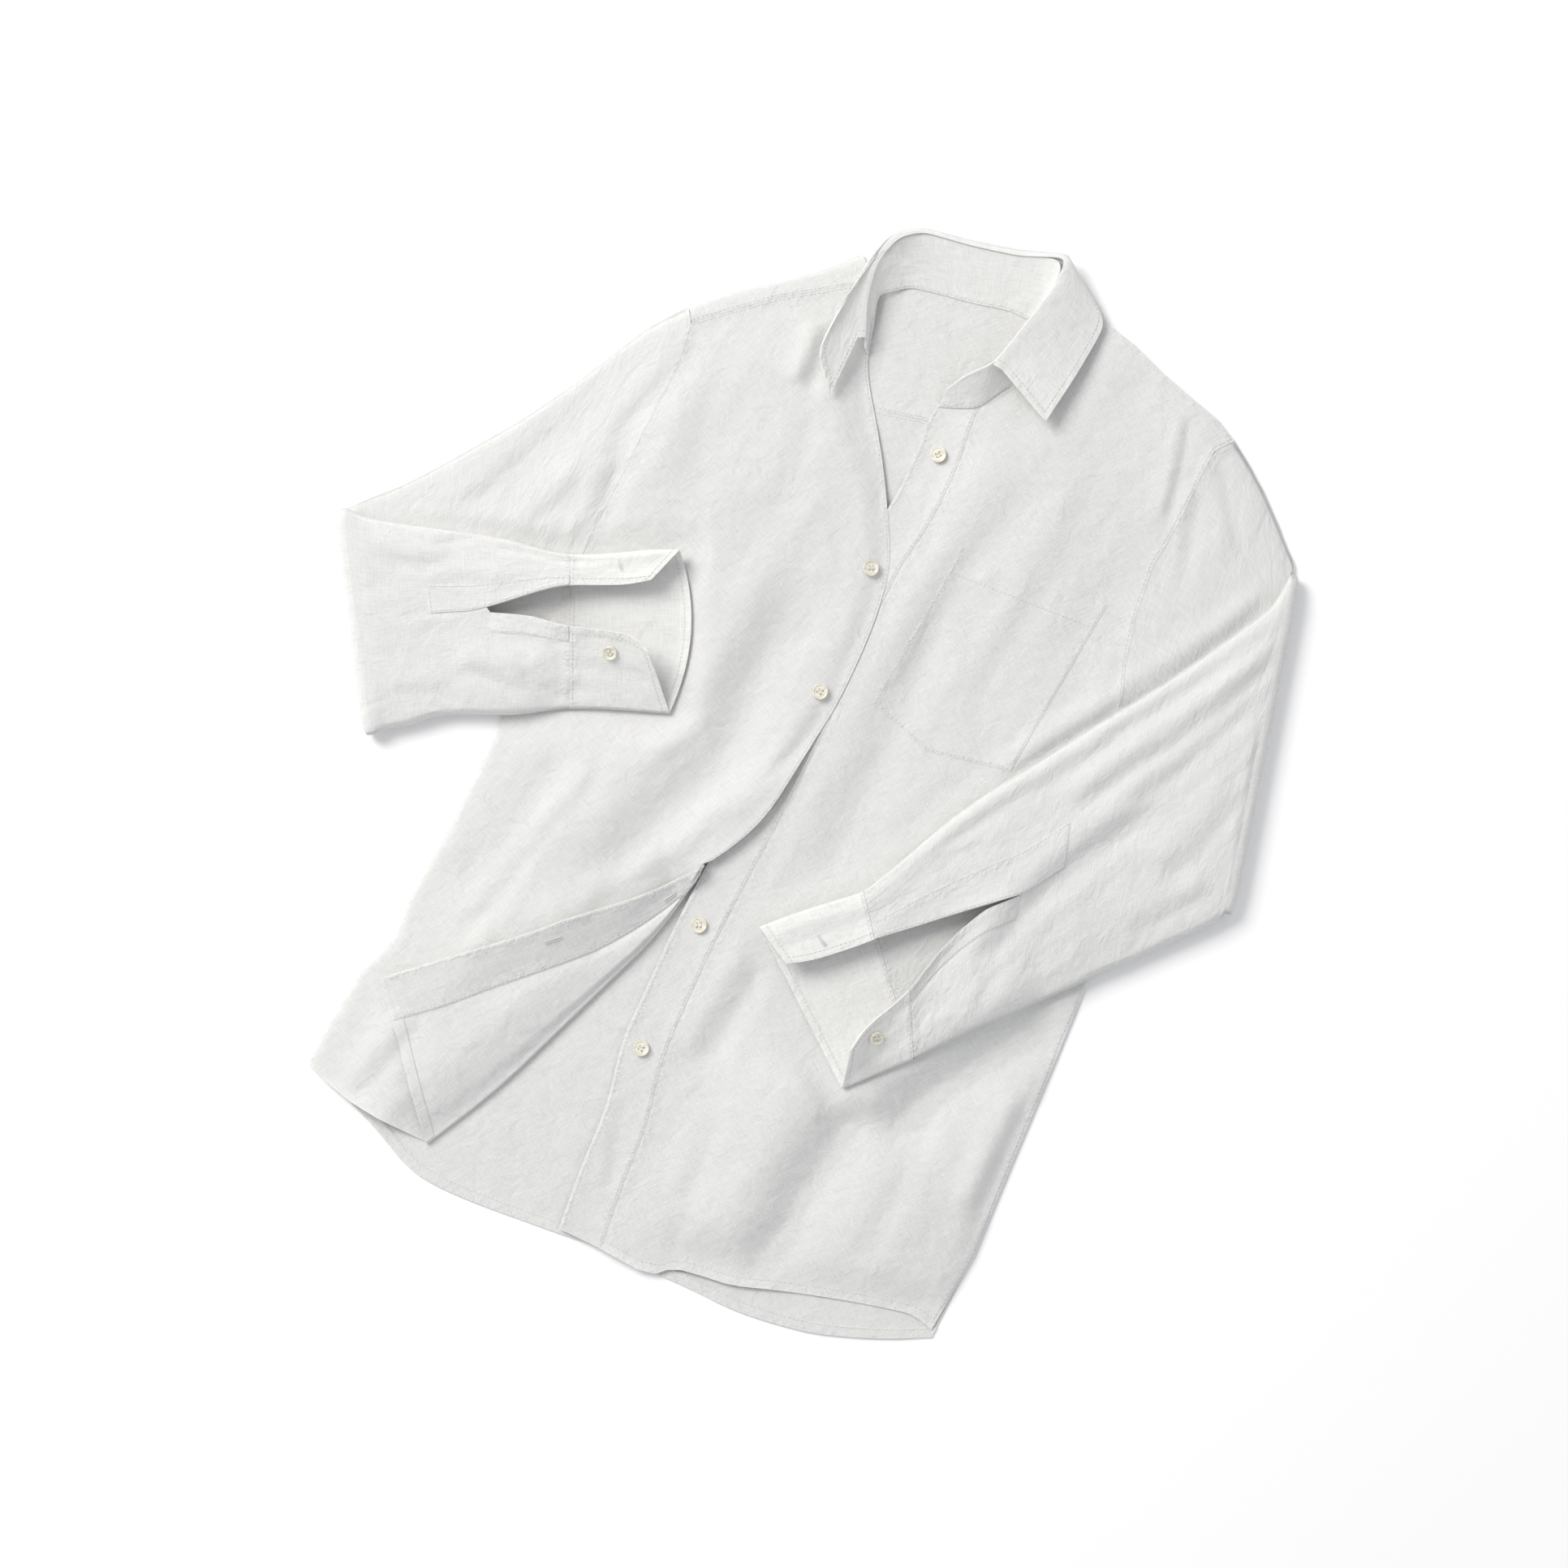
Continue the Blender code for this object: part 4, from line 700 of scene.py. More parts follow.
def sewn_down(grid, borders):
    """The grid moved to its upper side, as a strip that lies on it and is pressed
    into it where these borders are sewn down."""
    normal = normals_of(grid)
    if normal[..., 2].mean() < 0:
        normal = -normal
    weight = np.zeros(grid.shape[:2])
    for side in borders:
        weight = np.maximum(weight, near_border(grid, side, PRESSED_WIDTH))
    lift = SEWN_ON * (1.0 - weight) + PRESSED_LIFT * weight
    return grid + normal * lift[..., None]


def on_grid(grid, rows, columns):
    """Points at fractional rows and columns of a grid, between its own points."""
    rows = np.clip(np.asarray(rows, float), 0, grid.shape[0] - 1.000001)
    columns = np.clip(np.asarray(columns, float), 0, grid.shape[1] - 1.000001)
    i, j = rows.astype(int), columns.astype(int)
    p, q = (rows - i)[..., None], (columns - j)[..., None]
    return (
        grid[i, j] * (1 - p) * (1 - q) + grid[i + 1, j] * p * (1 - q)
        + grid[i, j + 1] * (1 - p) * q + grid[i + 1, j + 1] * p * q
    )


def linear(code):
    """A colour written as sRGB hex, in the linear values that a shader takes."""
    parts = [int(code[k:k + 2], 16) / 255 for k in (0, 2, 4)]
    return tuple(
        part / 12.92 if part <= 0.04045 else ((part + 0.055) / 1.055) ** 2.4
        for part in parts
    )


def size_setting(name, description, default, low, high):
    """A length of the panel, in metres."""
    return bpy.props.FloatProperty(
        name=name, description=description, default=default, min=low, max=high,
        unit="LENGTH",
    )


def colour_setting(name, description, code):
    """A colour of the panel, written as sRGB hex."""
    return bpy.props.FloatVectorProperty(
        name=name, description=description, default=linear(code), size=3, min=0.0,
        max=1.0, subtype="COLOR",
    )


class ShirtSizes(bpy.types.PropertyGroup):
    """Sizes that can be changed without changing the shirt's outline."""

    cloth_wall: size_setting(
        "Cloth wall", "Thickness of one layer of cloth", 0.0006, 0.0003, 0.0012)
    stiff_wall: size_setting(
        "Collar and cuff wall", "Thickness of the lined pieces", 0.0013, 0.0008, 0.0018)
    stitch_length: size_setting(
        "Stitch length", "Length of one topstitch that shows", 0.0024, 0.001, 0.005)
    stitch_gap: size_setting(
        "Stitch gap", "Bare cloth between two topstitches", 0.0009, 0.0003, 0.003)
    thread_width: size_setting(
        "Thread width", "Width of the sewing thread", 0.00055, 0.0002, 0.001)
    button_diameter: size_setting(
        "Front button", "Diameter of a front button", 0.0115, 0.009, 0.015)
    cuff_button_diameter: size_setting(
        "Cuff button", "Diameter of a cuff button", 0.0105, 0.008, 0.014)


class ShirtColours(bpy.types.PropertyGroup):
    """Colours of the cloth, thread, buttons and floor."""

    cloth: colour_setting("Linen", "Bleached linen, where it is lit", "E7E7E5")
    slub: colour_setting("Slubs", "Thicker threads of the linen, a little greyer", "DCDCD9")
    thread: colour_setting("Thread", "White cotton sewing thread", "E2E2DE")
    shell: colour_setting("Shell", "Pale nacre of the buttons", "EEEADC")
    shell_band: colour_setting("Shell bands", "Warmer growth bands in the nacre", "D2C8AE")
    floor: colour_setting("Floor", "Pale matt backdrop paper", "FDFDFD")


def add_node(tree, kind, settings=None, inputs=None):
    """Adds a node, sets its options, and sets its inputs to values or links them."""
    made = tree.nodes.new(kind)
    for key, value in (settings or {}).items():
        setattr(made, key, value)
    for key, value in (inputs or {}).items():
        if isinstance(value, bpy.types.NodeSocket):
            tree.links.new(value, made.inputs[key])
        else:
            made.inputs[key].default_value = value
    return made


def started(name, sockets):
    """A new material with these values on its main shader's own sockets."""
    look = bpy.data.materials.new(name)
    look.use_nodes = True
    shader = look.node_tree.nodes["Principled BSDF"]
    for key, value in sockets.items():
        shader.inputs[key].default_value = value
    return look, look.node_tree, shader


def rgba(colour):
    return (*colour, 1.0)


def noise(tree, place, scale, detail, more=None):
    """Noise over these places, scale times finer than one metre."""
    return add_node(tree, "ShaderNodeTexNoise", {}, {
        "Vector": place, "Scale": scale, "Detail": detail, **(more or {}),
    }).outputs["Fac"]


def bumped(tree, shader, layers):
    """Gives the shader bumps from layers of (height, distance in metres)."""
    normal = None
    for height, distance in layers:
        inputs = {"Height": height, "Distance": distance, "Strength": 1.0}
        if normal is not None:
            inputs["Normal"] = normal
        normal = add_node(tree, "ShaderNodeBump", {}, inputs).outputs["Normal"]
    tree.links.new(normal, shader.inputs["Normal"])


def tinted(tree, shader, value, limits, first, second):
    """Colours the shader from the first to the second colour between two limits."""
    share = add_node(tree, "ShaderNodeMapRange", {}, {
        "Value": value, "From Min": limits[0], "From Max": limits[1],
    }).outputs["Result"]
    colour = add_node(tree, "ShaderNodeMix", {"data_type": "RGBA"}, {
        "Factor": share, 6: rgba(first), 7: rgba(second),
    }).outputs[2]
    tree.links.new(colour, shader.inputs["Base Color"])


def woven_linen():
    """Bleached linen in plain weave, washed and not ironed. Threads of uneven
    thickness give it a matt face with fine slubs both ways and soft creases."""
    name = "washed plain-woven linen"
    if name in bpy.data.materials:
        return bpy.data.materials[name]
    colours = bpy.context.scene.shirt_colours
    look, tree, shader = started(name, {
        "Roughness": 0.88, "Sheen Weight": 0.12, "Sheen Roughness": 0.5,
        "Specular IOR Level": 0.25, "Subsurface Weight": 0.6,
        "Subsurface Radius": (1.0, 1.0, 1.0), "Subsurface Scale": 0.002,
    })
    place = add_node(tree, "ShaderNodeUVMap", {"uv_map": "cloth"}).outputs["UV"]

    # Slubs are about 0.5 mm thick and 15 mm long in real linen. They are drawn
    # 1.1 mm thick, because finer ones would not show at this distance.
    slubs = []
    for stretch in ((1 / 0.0011, 1 / 0.014, 1.0), (1 / 0.013, 1 / 0.0011, 1.0)):
        turned = add_node(tree, "ShaderNodeMapping", {}, {
            "Vector": place, "Scale": stretch,
        }).outputs["Vector"]
        slubs.append(noise(tree, turned, 1.0, 2.0, {"Roughness": 0.6}))
    both = add_node(tree, "ShaderNodeMath", {"operation": "ADD"}, {
        0: slubs[0], 1: slubs[1],
    }).outputs[0]
    tinted(tree, shader, both, (0.85, 1.3), colours.cloth, colours.slub)

    # Soft small creases of washed linen, about 18 mm apart, with finer ones in them.
    creases = noise(tree, place, 1 / 0.018, 3.0, {"Roughness": 0.55, "Distortion": 0.6})
    # Puckers, about 4 mm apart, where a seam is sewn through several layers.
    near_seam = add_node(tree, "ShaderNodeAttribute", {
        "attribute_name": "pucker",
    }).outputs["Fac"]
    pucker = add_node(tree, "ShaderNodeMath", {"operation": "MULTIPLY"}, {
        0: noise(tree, place, 1 / 0.0042, 1.0), 1: near_seam,
    }).outputs[0]
    bumped(tree, shader, ((creases, 0.0016), (pucker, 0.0012), (both, 0.00022)))
    return look


def cotton_thread():
    """Mercerised cotton thread, twisted: softly bright with fine diagonal ply."""
    name = "mercerised cotton thread"
    if name in bpy.data.materials:
        return bpy.data.materials[name]
    look, tree, shader = started(name, {
        "Base Color": rgba(bpy.context.scene.shirt_colours.thread),
        "Roughness": 0.6, "Sheen Weight": 0.1,
    })
    place = add_node(tree, "ShaderNodeTexCoord").outputs["Object"]
    ply = noise(tree, place, 1 / 0.0005, 1.0)
    bumped(tree, shader, ((ply, 0.0001),))
    return look


def polished_shell():
    """Trocas shell, sawn and tumble polished: milky and glossy with warm bands."""
    name = "polished trocas shell"
    if name in bpy.data.materials:
        return bpy.data.materials[name]
    colours = bpy.context.scene.shirt_colours
    look, tree, shader = started(name, {
        "Roughness": 0.22, "IOR": 1.53, "Coat Weight": 0.4, "Coat Roughness": 0.1,
    })
    place = add_node(tree, "ShaderNodeTexCoord").outputs["Object"]
    # Growth bands in shell are about 1 mm to 2 mm apart.
    bands = add_node(tree, "ShaderNodeTexWave", {"wave_type": "RINGS"}, {
        "Vector": place, "Scale": 60.0, "Distortion": 9.0, "Detail": 2.0,
        "Detail Scale": 1.4,
    }).outputs["Fac"]
    tinted(tree, shader, bands, (0.2, 1.6), colours.shell, colours.shell_band)
    return look


def backdrop_paper():
    """Matt seamless backdrop paper: pale and even, with a very fine tooth."""
    look, tree, shader = started("matt backdrop paper", {
        "Base Color": rgba(bpy.context.scene.shirt_colours.floor),
        "Roughness": 0.95, "Specular IOR Level": 0.1,
    })
    place = add_node(tree, "ShaderNodeTexCoord").outputs["Object"]
    tooth = noise(tree, place, 1 / 0.003, 1.0)
    bumped(tree, shader, ((tooth, 0.00003),))
    return look


def lying_flat(grid, angle):
    """Places on the cloth in metres, for a panel whose threads run at this angle."""
    turn = math.radians(angle)
    x, y = grid[..., 0] / 1000, grid[..., 1] / 1000
    return np.stack([
        x * math.cos(turn) + y * math.sin(turn), y * math.cos(turn) - x * math.sin(turn),
    ], axis=-1)


def rolled_out(grid, _angle=0.0):
    """Places on the cloth in metres, measured along the grid's rows and columns."""
    across = np.linalg.norm(np.diff(grid, axis=1), axis=-1).mean(axis=0)
    down = np.linalg.norm(np.diff(grid, axis=0), axis=-1).mean(axis=1)
    u = np.concatenate([[0.0], np.cumsum(across)]) / 1000
    v = np.concatenate([[0.0], np.cumsum(down)]) / 1000
    return np.stack(np.meshgrid(u, v), axis=-1)


def mesh_of(name, grids, places, puckers):
    """One mesh from grids of points, joined where their points are the same."""
    points = np.concatenate([grid.reshape(-1, 3) for grid in grids])
    flat = np.concatenate([place.reshape(-1, 2) for place in places])
    seam = np.concatenate([np.asarray(one, float).reshape(-1) for one in puckers])
    quads, start = [], 0
    for grid in grids:
        rows, columns = grid.shape[:2]
        index = np.arange(rows * columns).reshape(rows, columns) + start
        start += rows * columns
        quads.append(np.stack([
            index[:-1, :-1], index[1:, :-1], index[1:, 1:], index[:-1, 1:],
        ], axis=-1).reshape(-1, 4))
    quads = np.concatenate(quads)
    _, first, same = np.unique(
        np.round(points, 3), axis=0, return_index=True, return_inverse=True
    )
    same = same.reshape(-1)
    faces, corners = [], []
    for quad in quads.tolist():
        face, used = [], []
        for corner in quad:
            number = int(same[corner])
            if number not in face:
                face.append(number)
                used.append(corner)
        if len(face) > 2:
            faces.append(face)
            corners.extend(used)
    mesh = bpy.data.meshes.new(name)
    mesh.from_pydata((points[first] / 1000).tolist(), [], faces)
    layer = mesh.uv_layers.new(name="cloth")
    layer.data.foreach_set("uv", flat[corners].astype(np.float32).reshape(-1))
    attribute = mesh.attributes.new("pucker", "FLOAT", "POINT")
    attribute.data.foreach_set("value", seam[first].astype(np.float32))
    mesh.polygons.foreach_set("use_smooth", [True] * len(mesh.polygons))
    mesh.update()
    keep_borders_sharp(mesh)
    return mesh


def keep_borders_sharp(mesh):
    """Marks a sheet's free edges, so that its face isn't shaded round at them."""
    sides = np.zeros(len(mesh.edges), int)
    used = np.zeros(len(mesh.loops), np.int32)
    mesh.loops.foreach_get("edge_index", used)
    np.add.at(sides, used, 1)
    sharp = mesh.attributes.new("sharp_edge", "BOOLEAN", "EDGE")
    sharp.data.foreach_set("value", sides == 1)


GRIDS = {}  # fine grids of the pieces made so far, by the piece's name


def fine_cloth(name, grids, nodes, sewn, lay=lying_flat, angle=0.0, wall=None):
    wall = wall or bpy.context.scene.shirt_sizes.cloth_wall
    puckers = []
    for number, grid in enumerate(grids):
        weight = np.zeros(grid.shape[:2])
        for which, side in sewn:
            if which == number:
                weight = np.maximum(weight, near_border(grid, side))
        puckers.append(weight)
    mesh = mesh_of(name, grids, [lay(grid, angle) for grid in grids], puckers)
    piece = bpy.data.objects.new(name, mesh)
    bpy.context.scene.collection.objects.link(piece)
    mesh.materials.append(woven_linen())
    shell = piece.modifiers.new("Wall", "SOLIDIFY")
    shell.thickness = wall
    shell.offset = 0.0
    shell.use_rim = True
    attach(piece, "root")
    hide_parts(*nodes)
    GRIDS[name] = list(grids)
    return piece


def border_reach(grid, side):
    """The grid turned so that this border is its first row, and the distance of each
    point from that border, measured over the cloth."""
    turned = {
        "top": grid, "bottom": grid[::-1], "left": grid.swapaxes(0, 1),
        "right": grid[:, ::-1].swapaxes(0, 1),
    }[side]
    step = np.linalg.norm(np.diff(turned, axis=0), axis=-1)
    reach = np.concatenate([np.zeros((1, turned.shape[1])), np.cumsum(step, axis=0)])
    return turned, reach


def near_border(grid, side, width=9.0):
    """1 at a border of the grid, falling to 0 at this distance from it."""
    _, reach = border_reach(grid, side)
    weight = 1.0 - smooth(reach / width)
    return {
        "top": weight, "bottom": weight[::-1], "left": weight.swapaxes(0, 1),
        "right": weight.swapaxes(0, 1)[:, ::-1],
    }[side]


def line_in(grid, side, distance):
    """Points on the cloth at this distance in from a border, and their normals."""
    turned, reach = border_reach(grid, side)
    normals = normals_of(turned)
    if normals[..., 2].mean() < 0:
        normals = -normals
    count = np.arange(turned.shape[0])
    rows = np.array([
        np.interp(distance, reach[:, k], count) for k in range(turned.shape[1])
    ])
    columns = np.arange(turned.shape[1])
    return on_grid(turned, rows, columns), on_grid(normals, rows, columns)


HEM_START = 0.3  # the turned-in strip begins this far in from the border, in mm
HEM_LINES = 4


def hem_of(grid, side, width):
    """A strip of turned-in cloth that lies on the grid along one of its borders."""
    rows = []
    for distance in np.linspace(HEM_START, width, HEM_LINES):
        points, normals = line_in(grid, side, distance)
        rows.append(points + normals * SEWN_ON)
    return np.array(rows)


def resampled(rows, positions, rounds=6):
    """Rows of numbers at fractional positions in a table, with its corners eased."""
    rows = np.asarray(rows, float)
    number = np.arange(len(rows))
    found = np.stack([np.interp(positions, number, column) for column in rows.T], axis=1)
    for _ in range(rounds):
        found[1:-1] = (found[:-2] + 2 * found[1:-1] + found[2:]) / 4
    return found


def positions_for(points, cell):
    """Fractional positions between points of a line, about one cell apart."""
    found = [0.0]
    for number, step in enumerate(np.linalg.norm(np.diff(points, axis=0), axis=1)):
        count = max(1, round(float(step) / cell))
        found.extend(number + (k + 1) / count for k in range(count))
    return np.array(found)


BACK_WAVE = 0.9  # the back's highest ripple over the table
BACK_FADE = 25  # over which its ripples grow, in from its two sides
YOKE_DEPTH = 60.0
YOKE_ANGLE = 20.0  # of the yoke's threads and ripples, from right towards down
YOKE_SPLIT = 0.385  # share of the back seam at which the yoke's two parts meet
YOKE_FADE = 20


def make_back():
    left = at([(820, 440)] + RIGHT_SIDE)
    right = at([(1490, 640)] + LEFT_SIDE[:-1] + [(1148, 1650)])
    seam, hem = at(BACK_SEAM), eased(at(BACK_HEM), 1)
    places = patch(
        seam, hem, left, right, shares(length_of(seam), HIDDEN_CELL),
        shares(length_of(left), HIDDEN_CELL),
    )
    away = np.minimum(to_line(places, left)[0], to_line(places, right)[0])
    lift = 0.5 + 0.4 * crumple_height(places, BODY_ANGLE["left"])
    lift = BACK_WAVE * np.clip(lift, 0, 1) * smooth(away / BACK_FADE)
    grid = raised(places, TABLE_Z + lift)
    grid = drawn_in(grid, ("top",))
    # The armhole's straight part is drawn in from the sleeve's lower layer.
    for row in grid:
        if row[0][1] > at((690, 765))[1]:
            row[0][0] += SEAM_GAP / 2
        if row[-1][1] > at((1385, 985))[1]:
            row[-1][0] -= SEAM_GAP / 2
    hem = hem_of(grid, "bottom", 9.0)
    fine_cloth(
        "back_cloth", [grid, hem], ["back"],
        angle=BODY_ANGLE["left"], sewn=[(0, "bottom"), (1, "top")],
    )


def make_yoke():
    """Behind the neck and, turned over at the right shoulder, a strip in front."""
    cell = FRONT_CELL
    seam = along(np.array(BACK_SEAM, float), [0.0, YOKE_SPLIT, 1.0])[1]
    inset = [(x + 1, y + 5) for x, y in YOKE_SHOULDER]
    columns = shares(length_of(at(YOKE_SHOULDER)), cell)
    rows = shares(YOKE_DEPTH, cell)
    first = patch(
        at(inset), at(BACK_SEAM[:3] + [tuple(seam)]), at([inset[0], (820, 440)]),
        at([inset[-1], tuple(seam)]), columns, rows,
    )
    neck = at([inset[-1]] + YOKE_NECK[1:] + LEFT_SHOULDER[1:])
    second = patch(
        neck, at([tuple(seam)] + BACK_SEAM[3:]), at([inset[-1], tuple(seam)]),
        at([(1522, 543), (1490, 640)]), shares(length_of(neck), cell), rows,
    )
    outline = along(at(YOKE_SHOULDER), columns)
    strip_seam = along(at(RIGHT_SHOULDER_SEAM), columns)
    strip_rows = [raised(first[0], TABLE_Z)]
    fold_z = (SIDE_Z + TABLE_Z) / 2 + 0.8
    strip_rows.append(raised(outline, fold_z))
    for share in np.linspace(0.1, 1.0, 8):
        strip_rows.append(raised(outline * (1 - share) + strip_seam * share, right_cloth))
    strip = np.array(strip_rows)[::-1]
    wave = 0.35 * crumple_height(second, YOKE_ANGLE)
    wave = np.clip(wave + 0.3, 0, 1) * smooth(to_line(second, second[0])[0] / YOKE_FADE)
    wave = wave * smooth(to_line(second, second[:, 0])[0] / YOKE_FADE)
    lower = [raised(first, TABLE_Z), raised(second, TABLE_Z + wave)]
    lower[0] = drawn_in(lower[0], ("bottom", "left"))
    lower[1] = drawn_in(lower[1], ("bottom", "right"))
    strip = drawn_in(strip, ("top", "left"))
    strip[-1] = lower[0][0]
    lower[0][:, -1] = lower[1][:, 0]
    strip[-1, -1] = lower[0][0, -1]
    fine_cloth(
        "yoke_cloth", [lower[0], lower[1], strip], ["yoke"],
        angle=YOKE_ANGLE, sewn=[(0, "bottom"), (1, "bottom"), (2, "top"), (1, "top")],
    )


FOLD_RADIUS = 1.6  # of the turned-back corner's fold
FLAP_REST = 3.4  # the corner's upper layer above the front it lies on
FLAP_SWELL = 3.4  # how much higher it is a little way in from its fold
FLAP_ROLL = 20.0  # over which it rises to that
BAND_RISE = 6.5  # from the band's inner to its free edge
FLAP_GROWN = 0.3  # share of the fold's length over which the corner gets thicker
FLAP_CELL = 3.2
BAND_LINES = 12
FACING_START = 6  # row of the band at which the facing strip begins
FACING_ANGLE = 25.0
FLAP_ROWS = 100
FLAP_TURN = np.radians(np.linspace(-90, 90, 13))


def flap_grids():
    """Grids of the turned-back corner: roll with the cloth up to the band, and band."""
    rows = np.linspace(0, 1, FLAP_ROWS + 1)
    fold, band, edge = (
        along(eased(at(line)), rows) for line in (FLAP_FOLD, FLAP_BAND, FLAP_EDGE)
    )
    way = np.gradient(fold, axis=0)
    way /= np.linalg.norm(way, axis=1, keepdims=True)
    out = np.stack([-way[:, 1], way[:, 0]], axis=1)
    radius = np.full(rows.shape, FOLD_RADIUS)
    inner = fold - out * radius[:, None]
    band[0] = edge[0] = inner[0]
    low = right_cloth(inner)
    grow = smooth(rows / FLAP_GROWN)
    columns = []
    for turn in FLAP_TURN:
        place = inner + out * (radius * math.cos(turn))[:, None]
        tall = low + radius * (1.0 + math.sin(turn))
        columns.append(np.column_stack([place, tall]))
    wide = length_of([inner[-1], band[-1]])
    for share in shares(wide, FLAP_CELL)[1:]:
        place = inner * (1 - share) + band * share
        above = FLAP_REST + FLAP_SWELL * smooth(share * wide / FLAP_ROLL) * (1 - share**2)
        above = above + (2 * radius - FLAP_REST) * (1 - smooth(share * 3))
        above = 2 * radius[0] * (1 - grow) + above * grow
        soft = 0.8 * crumple_height(place, 140.0) * smooth(share * 3) * grow
        tall = right_cloth(place) + above + soft * smooth((1 - share) * 4)
        columns.append(np.column_stack([place, tall]))
    middle = np.stack(columns, axis=1)
    columns = [middle[:, -1]]
    for share in np.linspace(0, 1, BAND_LINES)[1:]:
        place = band * (1 - share) + edge * share
        above = FLAP_REST + BAND_RISE * share
        tall = right_cloth(place) + 2 * radius[0] * (1 - grow) + above * grow
        columns.append(np.column_stack([place, tall]))
    return middle, np.stack(columns, axis=1)


# The right front is two grids, which meet at this share of its side's length, and
# these are the points taken on its side above and below it.
RIGHT_SPLIT = 0.66
UPPER_SIDE_POINTS = 60
LOWER_SIDE_POINTS = 40


def make_right_front():
    cell = FRONT_CELL
    side = at(RIGHT_ARMHOLE + RIGHT_SIDE[1:])
    middle, band = flap_grids()
    reached = reached_at(side)
    hole = reached[len(RIGHT_ARMHOLE) - 1] / reached[-1]
    apex = middle[:1, 0, :2]
    upper_side = along(side, np.linspace(0, RIGHT_SPLIT, UPPER_SIDE_POINTS))
    lower_side = along(side, np.linspace(RIGHT_SPLIT, 1.0, LOWER_SIDE_POINTS))
    join = np.concatenate([upper_side[-1:], apex])
    edge = np.concatenate([eased(at(RIGHT_NECKLINE + RIGHT_EDGE[1:]), 1)[:-1], apex])
    across = shares(length_of(join), cell)
    down = shares(length_of(upper_side), cell)
    upper = patch(at(RIGHT_SHOULDER_SEAM), join, upper_side, edge, across, down)
    inner = middle[:, 0, :2]
    hem = np.concatenate([at(RIGHT_HEM[:-1]), inner[-1:]])
    lower = patch(join, hem, lower_side, inner, across, np.linspace(0, 1, FLAP_ROWS + 1))
    upper, lower = raised(upper, right_cloth), raised(lower, right_cloth)
    upper = drawn_in(upper, ("top",))
    armhole = drawn_in(upper, ("left",))
    rows = down < hole / RIGHT_SPLIT
    upper[rows, 0] = armhole[rows, 0]
    lower[0] = upper[-1]
    lower[:, -1] = middle[:, 0]
    upper[-1, -1] = middle[0, 0]
    hem_strip = hem_of(middle[2:, len(FLAP_TURN) - 1:], "bottom", 8.0)
    fine_cloth(
        "right_front_cloth", [upper, lower, middle, band, hem_strip], ["right_front"],
        angle=BODY_ANGLE["right"],
        sewn=[(0, "right"), (0, "top"), (0, "left"), (3, "right"), (2, "bottom")],
    )
    facing = drawn_in(band[FACING_START:], ("left", "right", "top", "bottom"), PANEL_INSET)
    facing = sewn_down(facing, ("left",))
    fine_cloth(
        "right_front_facing_cloth", [facing], ["right_front_facing"],
        angle=FACING_ANGLE, sewn=[(0, "left"), (0, "right")],
    )


BAND_WIDTH = 32.0
LEFT_WIDTH = 280.0  # rest of the left front, about its mean width
POCKET_SIZE = (120.0, 130.0)
POCKET_MEET = 0.45  # share of the pocket's width at which its point is


def make_left_front():
    cell = FRONT_CELL
    side = at(LEFT_ARMHOLE + LEFT_SIDE[1:])
    reached = reached_at(side)
    hole = reached[len(LEFT_ARMHOLE) - 1] / reached[-1]
    down = shares(reached[-1], cell)
    band_line, edge_line = eased(at(LEFT_BAND), 1), eased(at(LEFT_EDGE), 1)
    band = patch(
        at([LEFT_EDGE[0], LEFT_BAND[0]]), at([LEFT_EDGE[-1], LEFT_BAND[-1]]),
        edge_line, band_line, shares(BAND_WIDTH, cell), down,
    )
    # The neckline's steep part is nearly in line with the band, so it is the upper
    # part of the same border. The rows beside the band meet the band's own rows.
    neck = at(LEFT_NECK[:5])[::-1]
    beside = length_of(neck) / (length_of(neck) + length_of(band_line))
    neck_rows = beside * shares(length_of(neck), cell)[:-1]
    rows = np.concatenate([neck_rows, beside + (1.0 - beside) * down])
    rest = patch(
        at(LEFT_NECK[4:] + LEFT_SHOULDER[1:]), eased(at(LEFT_HEM), 1),
        np.vstack([neck[:-1], band_line]), side, shares(LEFT_WIDTH, cell), rows,
    )
    band, rest = raised(band, left_cloth), raised(rest, left_cloth)
    drawn = drawn_in(rest, ("right",))
    armhole = rows <= hole
    rest[armhole, -1] = drawn[armhole, -1]
    fine_cloth(
        "left_front_cloth", [band, rest], ["left_front"],
        angle=BODY_ANGLE["left"],
        sewn=[(0, "right"), (1, "left"), (1, "bottom"), (1, "right"), (1, "top")],
    )
    strip = drawn_in(band, ("left", "right", "top", "bottom"), PANEL_INSET)
    strip = sewn_down(strip, ("right",))
    fine_cloth(
        "left_front_placket_cloth", [strip], ["left_front_placket"],
        angle=BODY_ANGLE["left"], sewn=[(0, "left"), (0, "right")],
    )


def make_pocket():
    left, right = at(POCKET_LEFT), at(POCKET_RIGHT)
    point = at(POCKET_POINT)
    u, v = (shares(length, FRONT_CELL) for length in POCKET_SIZE)
    u, v = u[None, :, None], v[:, None, None]
    meet = POCKET_MEET
    start = left[0] * (1 - v) + left[1] * v
    end = right[0] * (1 - v) + right[1] * v
    middle = start * (1 - meet) + end * meet
    middle = middle + (point - (left[1] * (1 - meet) + right[1] * meet)) * v**3
    places = np.where(
        u <= meet, start + (middle - start) * u / meet,
        middle + (end - middle) * (u - meet) / (1 - meet),
    )
    grid = sewn_down(raised(places, left_cloth), ("left", "right", "bottom", "top"))
    fine_cloth(
        "chest_pocket_cloth", [grid], ["chest_pocket"],
        angle=BODY_ANGLE["left"],
        sewn=[(0, "left"), (0, "right"), (0, "bottom")],
    )


